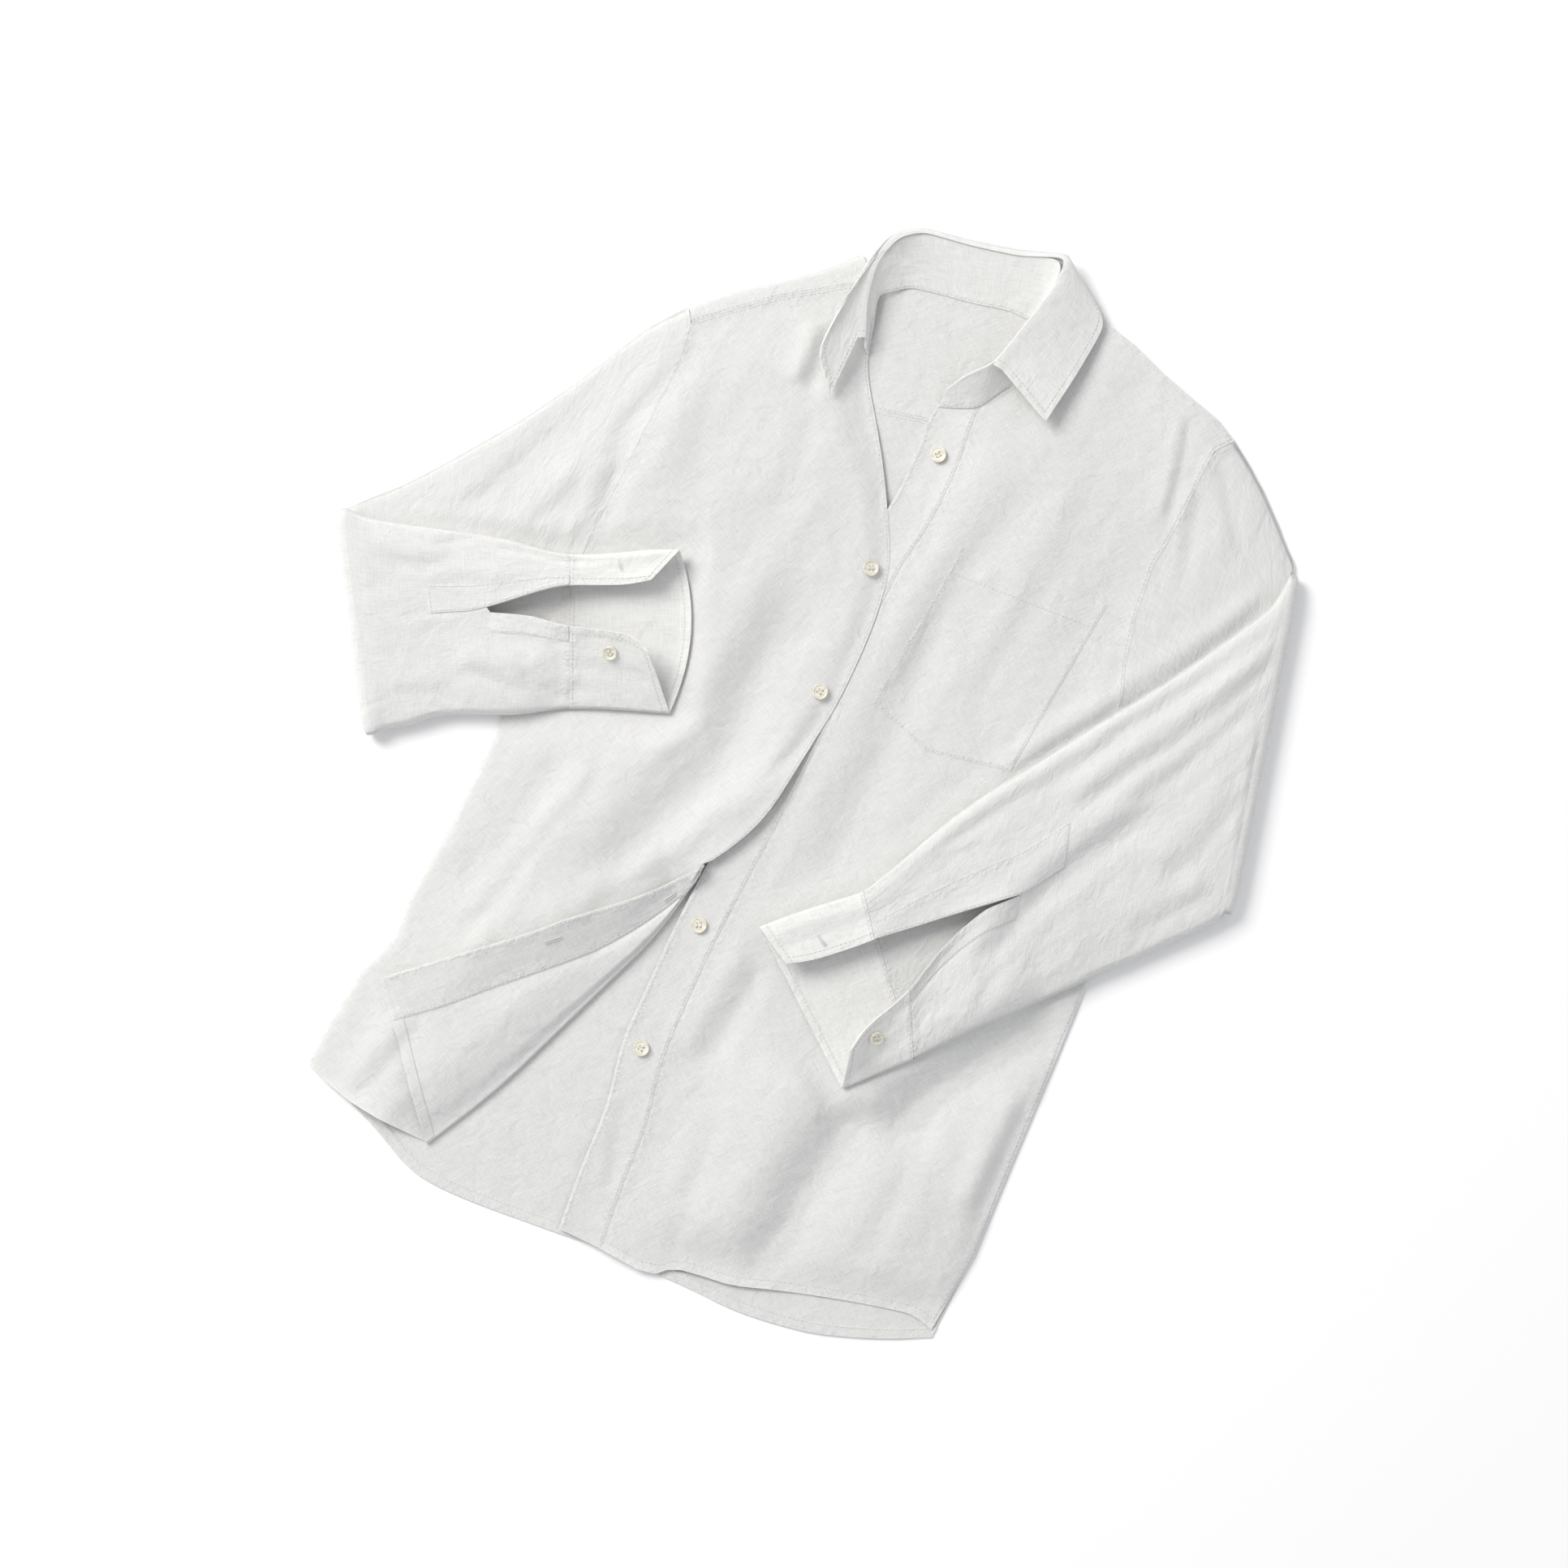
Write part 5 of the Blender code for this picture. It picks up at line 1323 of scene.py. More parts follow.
# Points of a sleeve's ring: the upper flap from the slit to the sleeve's first edge,
# the layer without the slit, and the lower flap from the other edge back to the slit.
# A flap's shares are 0 at the edge and 1 at the slit.
FLAP_ONE = np.linspace(1, 0, 27)[:-1]
BACK = np.linspace(0, 1, 56)
FLAP_TWO = np.linspace(0, 1, 31)[1:]
SLIT = np.concatenate([FLAP_ONE, np.zeros(len(BACK)), FLAP_TWO])
COLUMN = np.arange(len(SLIT))
IS_FIRST = COLUMN < len(FLAP_ONE)
IS_LAST = COLUMN >= len(SLIT) - len(FLAP_TWO)
IS_BACK = ~IS_FIRST & ~IS_LAST


def rounds(upper, lower):
    """How far each point is from the sleeve's edges: 0 there and 1 at these shares of
    the two flaps and further in."""
    flap = np.concatenate([FLAP_ONE / upper, FLAP_TWO / lower])
    flap = np.sqrt(1 - (1 - np.clip(flap, 0, 1)) ** 2)
    back = np.minimum(BACK, 1 - BACK) / BACK_ROUND
    back = np.sqrt(1 - (1 - np.clip(back, 0, 1)) ** 2)
    return np.concatenate([flap[:len(FLAP_ONE)], back, flap[len(FLAP_ONE):]])


FULL = rounds(SLIT_ROUND, SLIT_ROUND)
SHADE = rounds(UPPER_ROUND, LOWER_ROUND)
ELBOW_MEAN = (ELBOW_INNER + ELBOW_OUTER) / 2
ELBOW_RADIUS = np.where(IS_BACK, ELBOW_INNER, ELBOW_OUTER)
ELBOW_RADIUS = ELBOW_MEAN + (ELBOW_RADIUS - ELBOW_MEAN) * FULL


def ring(e0, e1, g1, g2, bow):
    """One ring's places from its two edges, its two slit edges and its back's bow."""
    one = g1 * FLAP_ONE[:, None] + e0 * (1 - FLAP_ONE[:, None])
    other = e0 * (1 - BACK[:, None]) + e1 * BACK[:, None] + bow
    two = e1 * (1 - FLAP_TWO[:, None]) + g2 * FLAP_TWO[:, None]
    return np.concatenate([one, other, two])


def upper_arm(upper, crease, armhole, cloth):
    """Rings from the armhole to the elbow. The back is on top, as the shirt's cloth."""
    arm = [np.concatenate([at(a), at(b)]) for a, b in upper] + [crease.reshape(-1)]
    spots = positions_for(np.array(arm)[:, :2], SLEEVE_CELL)
    fade = np.clip(1 - spots / ARMHOLE_FADE, 0, 1)
    first, last = at(upper[0][0]), at(upper[0][1])
    straight = first * (1 - BACK[:, None]) + last * BACK[:, None]
    hole = along(armhole, BACK) - straight
    places = []
    for row, share in zip(resampled(arm, spots), fade):
        half = (row[:2] + row[2:]) / 2
        places.append(ring(row[:2], row[2:], half, half, hole * share**2))
    places = np.array(places)
    on_table = UPPER_ARM_EDGE_Z + (TABLE_Z - UPPER_ARM_EDGE_Z) * FULL
    lying = np.where(IS_BACK, cloth(places), on_table)
    near_elbow = smooth(spots - (len(upper) - 1))[:, None]
    turned = ELBOW_CENTRE_Z - ELBOW_RADIUS
    return raised(places, lying * (1 - near_elbow) + turned * near_elbow)


def elbow_turn(line, turn_out):
    """Rings of the half turn over the elbow, on from the upper arm's last ring."""
    rings = []
    for angle in np.radians(np.linspace(-90, 90, ELBOW_RINGS))[1:]:
        place = line + turn_out * (ELBOW_RADIUS * math.cos(angle))[:, None]
        tall = ELBOW_CENTRE_Z + ELBOW_RADIUS * math.sin(angle)
        rings.append(np.column_stack([place, tall]))
    return np.array(rings)


def forearm_rings(forearm, crease, cloth, creases):
    """Rings from the elbow to the cuff's end, and their positions in the table. The
    slit is on top, and the back lies on the shirt's cloth."""
    table = []
    for row in forearm:
        table.append([*at(row[0]), *at(row[1]), *at(row[2]), *at(row[3]), *row[4:]])
    middle = crease.mean(axis=0)
    table = [[*crease[0], *crease[1], *middle, *middle, *table[0][8:]]] + table
    far = positions_for(np.array(table)[:, :2], SLEEVE_CELL)
    rows = resampled(table, far)
    number_of = {key: RING_COLUMNS.index(key) + 4 for key in RING_COLUMNS[4:]}
    places = []
    for row in rows:
        e0, e1, g1, g2 = row[0:2], row[2:4], row[4:6], row[6:8]
        axis = e0 - crease[0] + e1 - crease[1]
        axis = axis / max(np.linalg.norm(axis), 1e-6)
        reach = row[number_of["reach"]]
        bow = (4 * BACK * (1 - BACK) * reach * MM_PER_PIXEL)[:, None] * axis
        places.append(ring(e0, e1, g1, g2, bow))
    places = np.array(places)

    puff, lift1, lift2 = (
        rows[:, number_of[key], None] for key in ("puff", "lift1", "lift2")
    )
    leave = smooth(far)[:, None]
    # Near the cuff the lower flap slopes evenly from its slit edge to the sleeve's.
    near_cuff = np.clip(lift2 / OPEN_LIFT, 0, 1)
    even = near_cuff * IS_LAST
    section = (FULL * (1 - leave) + SHADE * leave) * (1 - even) + SLIT * even
    is_upper = COLUMN < len(FLAP_ONE) + len(BACK) // 2
    edge = np.where(is_upper, UPPER_EDGE_SHARE, LOWER_EDGE_SHARE)
    edge = EDGE_SHARE + (edge - EDGE_SHARE) * near_cuff
    base = cloth(places)
    top = np.maximum(base, CALM_Z) + FOREARM_CLEARANCE
    top = top + puff * (edge + (1 - edge) * section)
    top = top + np.where(IS_FIRST, lift1, lift2) * SLIT**SLIT_POWER
    top = top + fold_height(places, creases) * FULL
    bottom = base + FOREARM_CLEARANCE + edge * puff * (1 - FULL)
    tall = np.where(IS_BACK, bottom, top)
    tall = tall * leave + (ELBOW_CENTRE_Z + ELBOW_RADIUS) * (1 - leave)
    return raised(places, tall)[1:], far


def sleeve_grid(upper, elbow, forearm, cloth, armhole, creases, closed):
    """Grid of a sleeve that lies flat, turns over at the elbow and comes back, with
    its cuff. Its columns are the rings' points. Returns it with the number of the
    elbow's last row, the later rows' positions in the table and the first open row."""
    turn_out = at(elbow[1]) - at(elbow[0])
    turn_out = np.array([turn_out[1], -turn_out[0]]) / np.linalg.norm(turn_out)
    if np.dot(turn_out, at(elbow[0]) - at(upper[0][0])) < 0:
        turn_out = -turn_out
    crease = np.array([at(point) - turn_out * ELBOW_OUTER for point in elbow])
    arm = upper_arm(upper, crease, armhole, cloth)
    turn = elbow_turn(arm[-1, :, :2], turn_out)
    lower, far = forearm_rings(forearm, crease, cloth, creases)
    grid = np.concatenate([arm, turn, lower])
    bend = len(arm) + len(turn)
    grid[..., 2] += sleeve_crumple(grid, bend)
    opened = bend + int(np.searchsorted(far, closed + 1.0)) - 1
    grid[:opened, -1] = grid[:opened, 0]
    return grid, bend, far, opened


# The same columns as in CRUMPLES.
SLEEVE_CRUMPLES = [(90, 26, 1.1, 21), (42, 14, 0.6, 22), (20, 8, 0.25, 23)]


def sleeve_crumple(grid, bend):
    """Small crumples of the forearm's upper layer, which run along the sleeve."""
    waves = crumple_height(rolled_out(grid) * 1000, -90.0, SLEEVE_CRUMPLES)
    rows = np.arange(len(grid))[:, None]
    shown = smooth((rows - bend) / 12) * smooth((len(grid) - 1 - rows) / 8)
    return waves * shown * np.where(IS_BACK, 0.15, FULL**2)


PLACKET_POINTS = 10  # points of a ring, from the slit, that the placket's strip takes
UNDERLAP_POINTS = 7  # and on the slit's other side, the binding's strip


def make_sleeve(side, upper, elbow, forearm, cuff, cloth, armhole, creases, closed, cuts):
    """One sleeve, its two slit bindings and its cuff."""
    grid, bend, far, opened = sleeve_grid(
        upper, elbow, forearm + cuff, cloth, armhole, creases, closed,
    )
    seam = bend + int(np.searchsorted(far, len(forearm) - 1e-6))
    sleeve = drawn_in(grid[:seam], ("top", "bottom"))
    sleeve[:opened, -1] = sleeve[:opened, 0]
    fine_cloth(
        f"{side}_sleeve_cloth", [sleeve], [f"{side}_sleeve"],
        lay=rolled_out, sewn=[(0, "top"), (0, "bottom")],
    )
    cuff_grid = drawn_in(grid[seam - 1:], ("top",))
    fine_cloth(
        f"{side}_cuff_cloth", [cuff_grid], [f"{side}_cuff"],
        lay=rolled_out, wall=bpy.context.scene.shirt_sizes.stiff_wall,
        sewn=[(0, "top"), (0, "bottom"), (0, "left"), (0, "right")],
    )
    boxed = bend + int(np.searchsorted(far, cuts["boxed"]))
    for name, strip in (
        ("placket", sleeve[boxed:, :PLACKET_POINTS]),
        ("underlap", sleeve[opened:, -UNDERLAP_POINTS:]),
    ):
        strip = drawn_in(strip, ("top", "bottom", "left", "right"), PANEL_INSET)
        strip = sewn_down(strip, ("top", "right" if name == "placket" else "left"))
        fine_cloth(
            f"{side}_sleeve_{name}_cloth", [strip], [f"{side}_sleeve_{name}"],
            lay=rolled_out, sewn=[(0, "left"), (0, "right")],
        )


# Cut of each sleeve's pieces, and the table row at which its placket's box begins.
SLEEVE_CUTS = {
    "right": {
        "boxed": 2.8,
        "sleeve": {"flat": (0.48, 0.48), "area": 0.118},
        "cuff": {"flat": (0.235, 0.08), "area": 0.0172},
        "placket": {"flat": (0.022, 0.107), "area": 0.0016},
        "underlap": {"flat": (0.016, 0.06), "area": 0.0008},
    },
    "left": {
        "boxed": 6.4,
        "sleeve": {"flat": (0.54, 0.52), "area": 0.16},
        "cuff": {"flat": (0.238, 0.078), "area": 0.0157},
        "placket": {"flat": (0.032, 0.156), "area": 0.0036},
        "underlap": {"flat": (0.017, 0.107), "area": 0.0011},
    },
}


COLLAR_NEAR = 3.0  # the stand's foot clears the cloth this far around it, in mm
COLLAR_FOOT = 0.5  # and stands this much above it
STAND_TOP = 1.3  # the stand's upper edge is this far under the ridge
STAND_LINES = 12
FALL_LINES = 16


def height_on(grids, place):
    """Height of the highest of the grids' cells over a place, or None beside them."""
    found = None
    for grid in grids:
        a, b, c, d = grid[:-1, :-1], grid[:-1, 1:], grid[1:, 1:], grid[1:, :-1]
        for first, second, third in ((a, b, c), (a, c, d)):
            one, two = second - first, third - first
            area = one[..., 0] * two[..., 1] - one[..., 1] * two[..., 0]
            area = np.where(np.abs(area) < 1e-9, 1e-9, area)
            gone = place - first[..., :2]
            p = (gone[..., 0] * two[..., 1] - gone[..., 1] * two[..., 0]) / area
            q = (one[..., 0] * gone[..., 1] - one[..., 1] * gone[..., 0]) / area
            hit = (p >= -1e-6) & (q >= -1e-6) & (p + q <= 1 + 1e-6)
            if hit.any():
                tall = (first[..., 2] + p * one[..., 2] + q * two[..., 2])[hit].max()
                found = tall if found is None else max(found, tall)
    return found


def rest_height(grids, place):
    """The highest cloth over a place and a little around it."""
    tall = []
    near = COLLAR_NEAR
    for dx, dy in ((0, 0), (near, 0), (-near, 0), (0, near), (0, -near)):
        found = height_on(grids, np.asarray(place) + [dx, dy])
        if found is not None:
            tall.append(found)
    return max(tall)


def make_collar():
    panels = (
        GRIDS["yoke_cloth"] + GRIDS["right_front_cloth"][:2] + GRIDS["left_front_cloth"]
        + GRIDS["left_front_placket_cloth"]
    )
    rows = [STAND_RIGHT_END + ((0, 0, 0),) * 2] + COLLAR
    rows += [row + ((0, 0, 0),) * 2 for row in STAND_LEFT_END]
    places = np.array([at(row[0]) for row in rows])
    spots = positions_for(places, FRONT_CELL)
    tall = np.array([[rest_height(panels, place)] for place in places])
    places, tall = resampled(places, spots, 4), resampled(tall, spots, 4)[:, 0]
    tall = [
        max(here, rest_height(panels, place)) + COLLAR_FOOT
        for here, place in zip(tall, places)
    ]
    feet = np.column_stack([places, tall])
    ridges = np.array([[*at(row[1][:2]), row[1][2]] for row in rows])
    tops = resampled(ridges, spots, 8) - [0, 0, STAND_TOP]
    heights = np.linspace(0, 1, STAND_LINES)
    stand = np.stack([feet * (1 - s) + tops * s for s in heights], axis=1)
    stiff = bpy.context.scene.shirt_sizes.stiff_wall
    fine_cloth(
        "collar_stand_cloth", [stand], ["collar_stand"],
        lay=rolled_out, wall=stiff, sewn=[(0, "left")],
    )
    lines = []
    points = np.array([[*at(row[1][:2]), row[1][2]] for row in COLLAR])
    spots = positions_for(points, FRONT_CELL)
    for key in ("ridge", "roll", "edge"):
        column = COLLAR_COLUMNS.index(key)
        points = [[*at(row[column][:2]), row[column][2]] for row in COLLAR]
        lines.append(resampled(np.array(points), spots, 8))
    ridge, roll, edge = lines
    ridge = ridge + [0, 0, 0.4]
    crown = (ridge + roll) / 2 + [0, 0, 0.5]
    columns = [ridge, crown, roll]
    for share in np.linspace(0, 1, FALL_LINES)[1:]:
        columns.append(roll * (1 - share) + edge * share)
    fine_cloth(
        "collar_fall_cloth", [np.stack(columns, axis=1)], ["collar_fall"],
        lay=rolled_out, wall=stiff,
        sewn=[(0, "right"), (0, "top"), (0, "bottom")],
    )


def stitch_mesh(name, starts, ends, normals, width):
    """Short threads that come up out of the cloth and go back in, as one mesh."""
    starts, ends, normals = (np.asarray(one, float) for one in (starts, ends, normals))
    way = ends - starts
    side = np.cross(way, normals)
    side /= np.maximum(np.linalg.norm(side, axis=1, keepdims=True), 1e-9)
    half = width / 2
    profile = [(0.0, 0.35, -0.6), (0.22, 1.0, 0.25), (0.78, 1.0, 0.25), (1.0, 0.35, -0.6)]
    rings = []
    for share, wide, up in profile:
        middle = starts + way * share + normals * (up * half)
        corners = [
            middle + side * half * wide * math.cos(turn)
            + normals * half * wide * math.sin(turn)
            for turn in np.radians([0, 90, 180, 270])
        ]
        rings.append(np.stack(corners, axis=1))
    points = np.stack(rings, axis=1).reshape(-1, 3)
    faces = []
    for one in range(len(starts)):
        base = one * 16
        for level in range(3):
            for k in range(4):
                a, b = base + level * 4 + k, base + level * 4 + (k + 1) % 4
                faces.append((a, b, b + 4, a + 4))
        faces.append((base + 3, base + 2, base + 1, base))
        faces.append((base + 12, base + 13, base + 14, base + 15))
    mesh = bpy.data.meshes.new(name)
    mesh.from_pydata((points / 1000).tolist(), [], faces)
    mesh.polygons.foreach_set("use_smooth", [True] * len(mesh.polygons))
    mesh.update()
    return mesh


def stitched(points, normals, lift):
    """Starts, ends and normals of even stitches along a line on the cloth."""
    sizes = bpy.context.scene.shirt_sizes
    length, gap = sizes.stitch_length * 1000, sizes.stitch_gap * 1000
    points = points + normals * lift
    reached = reached_at(points)
    count = int((reached[-1] - length) / (length + gap))
    first = np.arange(max(count, 0)) * (length + gap) + gap
    found = []
    for where in (first, first + length):
        found.append(np.stack([np.interp(where, reached, axis) for axis in points.T], 1))
    up = np.stack([np.interp(first, reached, axis) for axis in normals.T], 1)
    up /= np.maximum(np.linalg.norm(up, axis=1, keepdims=True), 1e-9)
    return found[0], found[1], up


def add_thread(name, rows, width):
    """One piece of thread from rows of (starts, ends, normals)."""
    starts, ends, normals = (np.concatenate([row[k] for row in rows]) for k in range(3))
    mesh = stitch_mesh(name, starts, ends, normals, width)
    mesh.materials.append(cotton_thread())
    piece = bpy.data.objects.new(name, mesh)
    bpy.context.scene.collection.objects.link(piece)
    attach(piece, "root")
    return piece


# Topstitched borders: piece, grid number, border, distance in from it (mm).
SEAM_ROWS = {
    "front_topstitching": [
        ("right_front_cloth", 0, "top", 2.0), ("right_front_cloth", 0, "right", 2.0),
        ("right_front_cloth", 3, "right", 2.0),
        ("right_front_facing_cloth", 0, "left", 1.5),
        ("right_front_facing_cloth", 0, "right", 1.5),
        ("left_front_placket_cloth", 0, "left", 2.0),
        ("left_front_placket_cloth", 0, "right", 2.0),
        ("left_front_cloth", 1, "bottom", 7.0), ("left_front_cloth", 1, "right", 3.0),
        ("chest_pocket_cloth", 0, "left", 1.8), ("chest_pocket_cloth", 0, "right", 1.8),
        ("chest_pocket_cloth", 0, "bottom", 1.8), ("chest_pocket_cloth", 0, "top", 20.0),
        ("back_cloth", 1, "top", 7.5), ("back_cloth", 0, "top", 2.0),
        ("yoke_cloth", 1, "bottom", 2.0), ("yoke_cloth", 2, "top", 2.0),
    ],
    "collar_topstitching": [
        ("collar_fall_cloth", 0, "right", 5.0), ("collar_fall_cloth", 0, "top", 5.0),
        ("collar_fall_cloth", 0, "bottom", 5.0), ("collar_stand_cloth", 0, "left", 2.0),
    ],
    "sleeve_topstitching": [
        (f"{side}_cuff_cloth", 0, border, distance)
        for side in ("right", "left")
        for border, distance in (("top", 2.0), ("bottom", 5.0), ("left", 5.0), ("right", 5.0))
    ] + [
        (f"{side}_sleeve_placket_cloth", 0, border, 1.5)
        for side in ("right", "left") for border in ("left", "right", "top")
    ] + [
        (f"{side}_sleeve_underlap_cloth", 0, "left", 1.5) for side in ("right", "left")
    ],
}


def make_topstitching():
    sizes = bpy.context.scene.shirt_sizes
    thread = sizes.thread_width * 1000
    for name, rows in SEAM_ROWS.items():
        found = []
        for piece, number, side, distance in rows:
            grid = GRIDS[piece][number]
            points, normals = line_in(grid, side, distance)
            stiff = "cuff" in piece or "collar" in piece
            wall = sizes.stiff_wall if stiff else sizes.cloth_wall
            both = (1.0, -1.0) if stiff else (1.0,)
            lift = wall / 2 * 1000 + thread * 0.25
            found.extend(stitched(points, normals * face, lift) for face in both)
        add_thread(name, found, thread)


def buttonhole(centre, way, up, length):
    """Starts, ends and normals of the satin stitches on both sides of a slit."""
    way, up = way / np.linalg.norm(way), up / np.linalg.norm(up)
    side = np.cross(up, way)
    starts, ends = [], []
    for face in (1.0, -1.0):
        for reach in np.arange(-length / 2, length / 2, 0.55):
            starts.append(centre + way * reach + side * face * 0.2)
            ends.append(centre + way * reach + side * face * 1.25)
    for face in (1.0, -1.0):
        for across in (-0.7, 0.0, 0.7):
            starts.append(centre + way * face * (length / 2) + side * across)
            ends.append(centre + way * face * (length / 2 + 0.9) + side * across)
    return starts, ends, [up] * len(starts)


# Buttonholes: piece, grid number, picture point, and a second point on the slit's way.
BUTTONHOLES = [
    ("right_front_facing_cloth", (683, 1160), (702, 1154)),
    ("right_front_facing_cloth", (826, 1104), (842, 1094)),
    ("right_cuff_cloth", (765, 700), (768, 712)),
    ("left_cuff_cloth", (1010, 1155), (1016, 1164)),
]


BUTTONHOLE_LENGTH = 12.0  # in millimetres, and so are the sizes below
BUTTONHOLE_LIFT = 0.55  # of its stitches' ends above the cloth's middle surface
STIFF_BUTTONHOLE_LIFT = 0.75  # the same on a cuff, whose wall is thicker
SATIN_THREAD = 0.6
BUTTON_THREAD = 0.75


def nearest_on(grid, place):
    """The grid's point and normal nearest to a place, on its upper layer."""
    away = np.linalg.norm(grid[..., :2] - place, axis=-1) - grid[..., 2] * 0.2
    i, j = np.unravel_index(np.argmin(away), away.shape)
    normal = normals_of(grid)[i, j]
    if normal[2] < 0:
        normal = -normal
    return grid[i, j], normal


def make_buttonholes():
    found = []
    for piece, point, toward in BUTTONHOLES:
        grid = GRIDS[piece][0]
        centre, up = nearest_on(grid, at(point))
        way = np.array([*(at(toward) - at(point)), 0.0])
        way = way - up * np.dot(way, up)
        lift = STIFF_BUTTONHOLE_LIFT if "cuff" in piece else BUTTONHOLE_LIFT
        found.append(buttonhole(centre + up * lift, way, up, BUTTONHOLE_LENGTH))
    add_thread("buttonhole_stitching", found, SATIN_THREAD)


BUTTON_THICKNESS = 2.4  # in millimetres, and so are the sizes below
BUTTON_RIM = 1.5
BUTTON_DISH = 0.55
BUTTON_HOLE = 1.5
BUTTON_HOLES_APART = 2.7
BUTTON_ON_CUFF = 1.0  # from the cloth's middle surface to the button's underside
BUTTON_ON_FRONT = 0.9

# Front buttons: the CAD node, its picture point and the cloth under it.
FRONT_BUTTONS = [
    ("front_button_1", (1157, 560), "placket"),
    ("front_button_2", (1072, 700), "right"),
    ("front_button_3", (1010, 852), "right"),
    ("front_button_4", (938, 996), "placket"),
    ("front_button_5", (861, 1140), "placket"),
    ("front_button_6", (790, 1292), "placket"),
]
CUFF_BUTTONS = [
    ("right_cuff_button", (752, 804), "right_cuff_cloth"),
    ("left_cuff_button", (1078, 1277), "left_cuff_cloth"),
]


def pick_faces(mesh, wanted):
    """Selects the faces for which wanted(centre, normal) holds, in edit mode."""
    bpy.ops.mesh.select_mode(type="FACE")
    bpy.ops.mesh.select_all(action="DESELECT")
    shape = bmesh.from_edit_mesh(mesh)
    for face in shape.faces:
        if wanted(face.calc_center_median(), face.normal):
            face.select_set(True)
    bmesh.update_edit_mesh(mesh)


def model_button(diameter):
    """Turns a four-hole shirt button: rounded back, raised rim and dished middle."""
    bpy.ops.object.select_all(action="DESELECT")
    thick = BUTTON_THICKNESS / 1000
    bpy.ops.mesh.primitive_cylinder_add(
        vertices=56, radius=diameter / 2, depth=thick, location=(0, 0, thick / 2))
    button = bpy.context.object
    bpy.ops.object.transform_apply(location=True, rotation=True, scale=True)
    bpy.ops.object.mode_set(mode="EDIT")
    mesh = button.data
    pick_faces(mesh, lambda centre, normal: normal.z > 0.9)
    bpy.ops.mesh.inset(thickness=BUTTON_RIM * 0.55 / 1000)
    bpy.ops.mesh.inset(thickness=BUTTON_RIM * 0.45 / 1000)
    bpy.ops.transform.translate(value=(0, 0, -BUTTON_DISH / 1000))
    pick_faces(mesh, lambda centre, normal: normal.z < -0.9)
    bpy.ops.mesh.inset(thickness=BUTTON_RIM * 0.8 / 1000)
    bpy.ops.mesh.extrude_region_move(
        TRANSFORM_OT_translate={"value": (0, 0, -0.0001)})
    bpy.ops.object.mode_set(mode="OBJECT")
    bevel = button.modifiers.new("Tumbled edges", "BEVEL")
    bevel.width, bevel.segments = 0.0004, 3
    bevel.limit_method, bevel.angle_limit = "ANGLE", math.radians(25)
    bpy.ops.object.modifier_apply(modifier=bevel.name)
    for x in (-1, 1):
        for y in (-1, 1):
            bpy.ops.object.select_all(action="DESELECT")
            apart = BUTTON_HOLES_APART / 2000
            bpy.ops.mesh.primitive_cylinder_add(
                vertices=20, radius=BUTTON_HOLE / 2000, depth=4 * thick,
                location=(x * apart, y * apart, thick / 2))
            drill = bpy.context.object
            hole = button.modifiers.new("Drilled hole", "BOOLEAN")
            hole.object, hole.operation, hole.solver = drill, "DIFFERENCE", "EXACT"
            bpy.context.view_layer.objects.active = button
            bpy.ops.object.modifier_apply(modifier=hole.name)
            bpy.data.objects.remove(drill)
    bpy.ops.object.select_all(action="DESELECT")
    button.select_set(True)
    bpy.ops.object.shade_smooth_by_angle(angle=math.radians(35))
    return button


def seat_of(kind, point):
    """The point and normal of the cloth that a button sits on, in millimetres."""
    centre = at(point)
    if kind in GRIDS:
        place, normal = nearest_on(GRIDS[kind][0], centre)
        return place + normal * BUTTON_ON_CUFF, normal
    surface, more = (right_cloth, 0.0) if kind == "right" else (left_cloth, SEWN_ON)
    step = 4.0
    around = np.array([
        centre, centre + [step, 0], centre - [step, 0], centre + [0, step],
        centre - [0, step],
    ])
    tall = surface(around)
    normal = np.array([tall[2] - tall[1], tall[4] - tall[3], 2 * step])
    normal /= np.linalg.norm(normal)
    return np.array([*centre, tall.max()]) + normal * (BUTTON_ON_FRONT + more), normal


def make_buttons():
    sizes = bpy.context.scene.shirt_sizes
    threads = []
    for diameter, rows in (
        (sizes.button_diameter, FRONT_BUTTONS), (sizes.cuff_button_diameter, CUFF_BUTTONS),
    ):
        model = model_button(diameter)
        for number, (node, point, kind) in enumerate(rows):
            place, normal = seat_of(kind, point)
            spin = mathutils.Matrix.Rotation(math.radians(27 + 61 * number), 4, "Z")
            tilt = mathutils.Vector((0, 0, 1)).rotation_difference(
                mathutils.Vector(normal)).to_matrix().to_4x4()
            put = mathutils.Matrix.Translation(mathutils.Vector(place / 1000))
            where = put @ tilt @ spin
            mesh = model.data.copy()
            mesh.transform(where)
            mesh.materials.clear()
            mesh.materials.append(polished_shell())
            piece = bpy.data.objects.new(f"{node}_shell", mesh)
            bpy.context.scene.collection.objects.link(piece)
            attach(piece, "root")
            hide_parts(node)
            threads.append(button_thread(where))
        bpy.data.objects.remove(model)
    add_thread("button_threads", threads, BUTTON_THREAD)


def button_thread(where):
    """Two bars of thread between a button's holes, in millimetres."""
    apart = BUTTON_HOLES_APART / 2
    tall = BUTTON_THICKNESS - BUTTON_DISH + 0.25
    starts, ends = [], []
    for y in (-apart, apart):
        for aside in (-0.22, 0.22):
            starts.append((-apart - 0.35, y + aside, tall))
            ends.append((apart + 0.35, y + aside, tall))
    move = np.array(where)
    starts, ends = (
        np.array(one) @ move[:3, :3].T + move[:3, 3] * 1000 for one in (starts, ends)
    )
    return starts, ends, np.tile(move[:3, 2], (len(starts), 1))


LENS = 100.0  # mm, on a sensor 36 mm wide
SENSOR = 36.0
FLOOR_SIDE = 16.0  # metres
WORLD_STRENGTH = 0.60


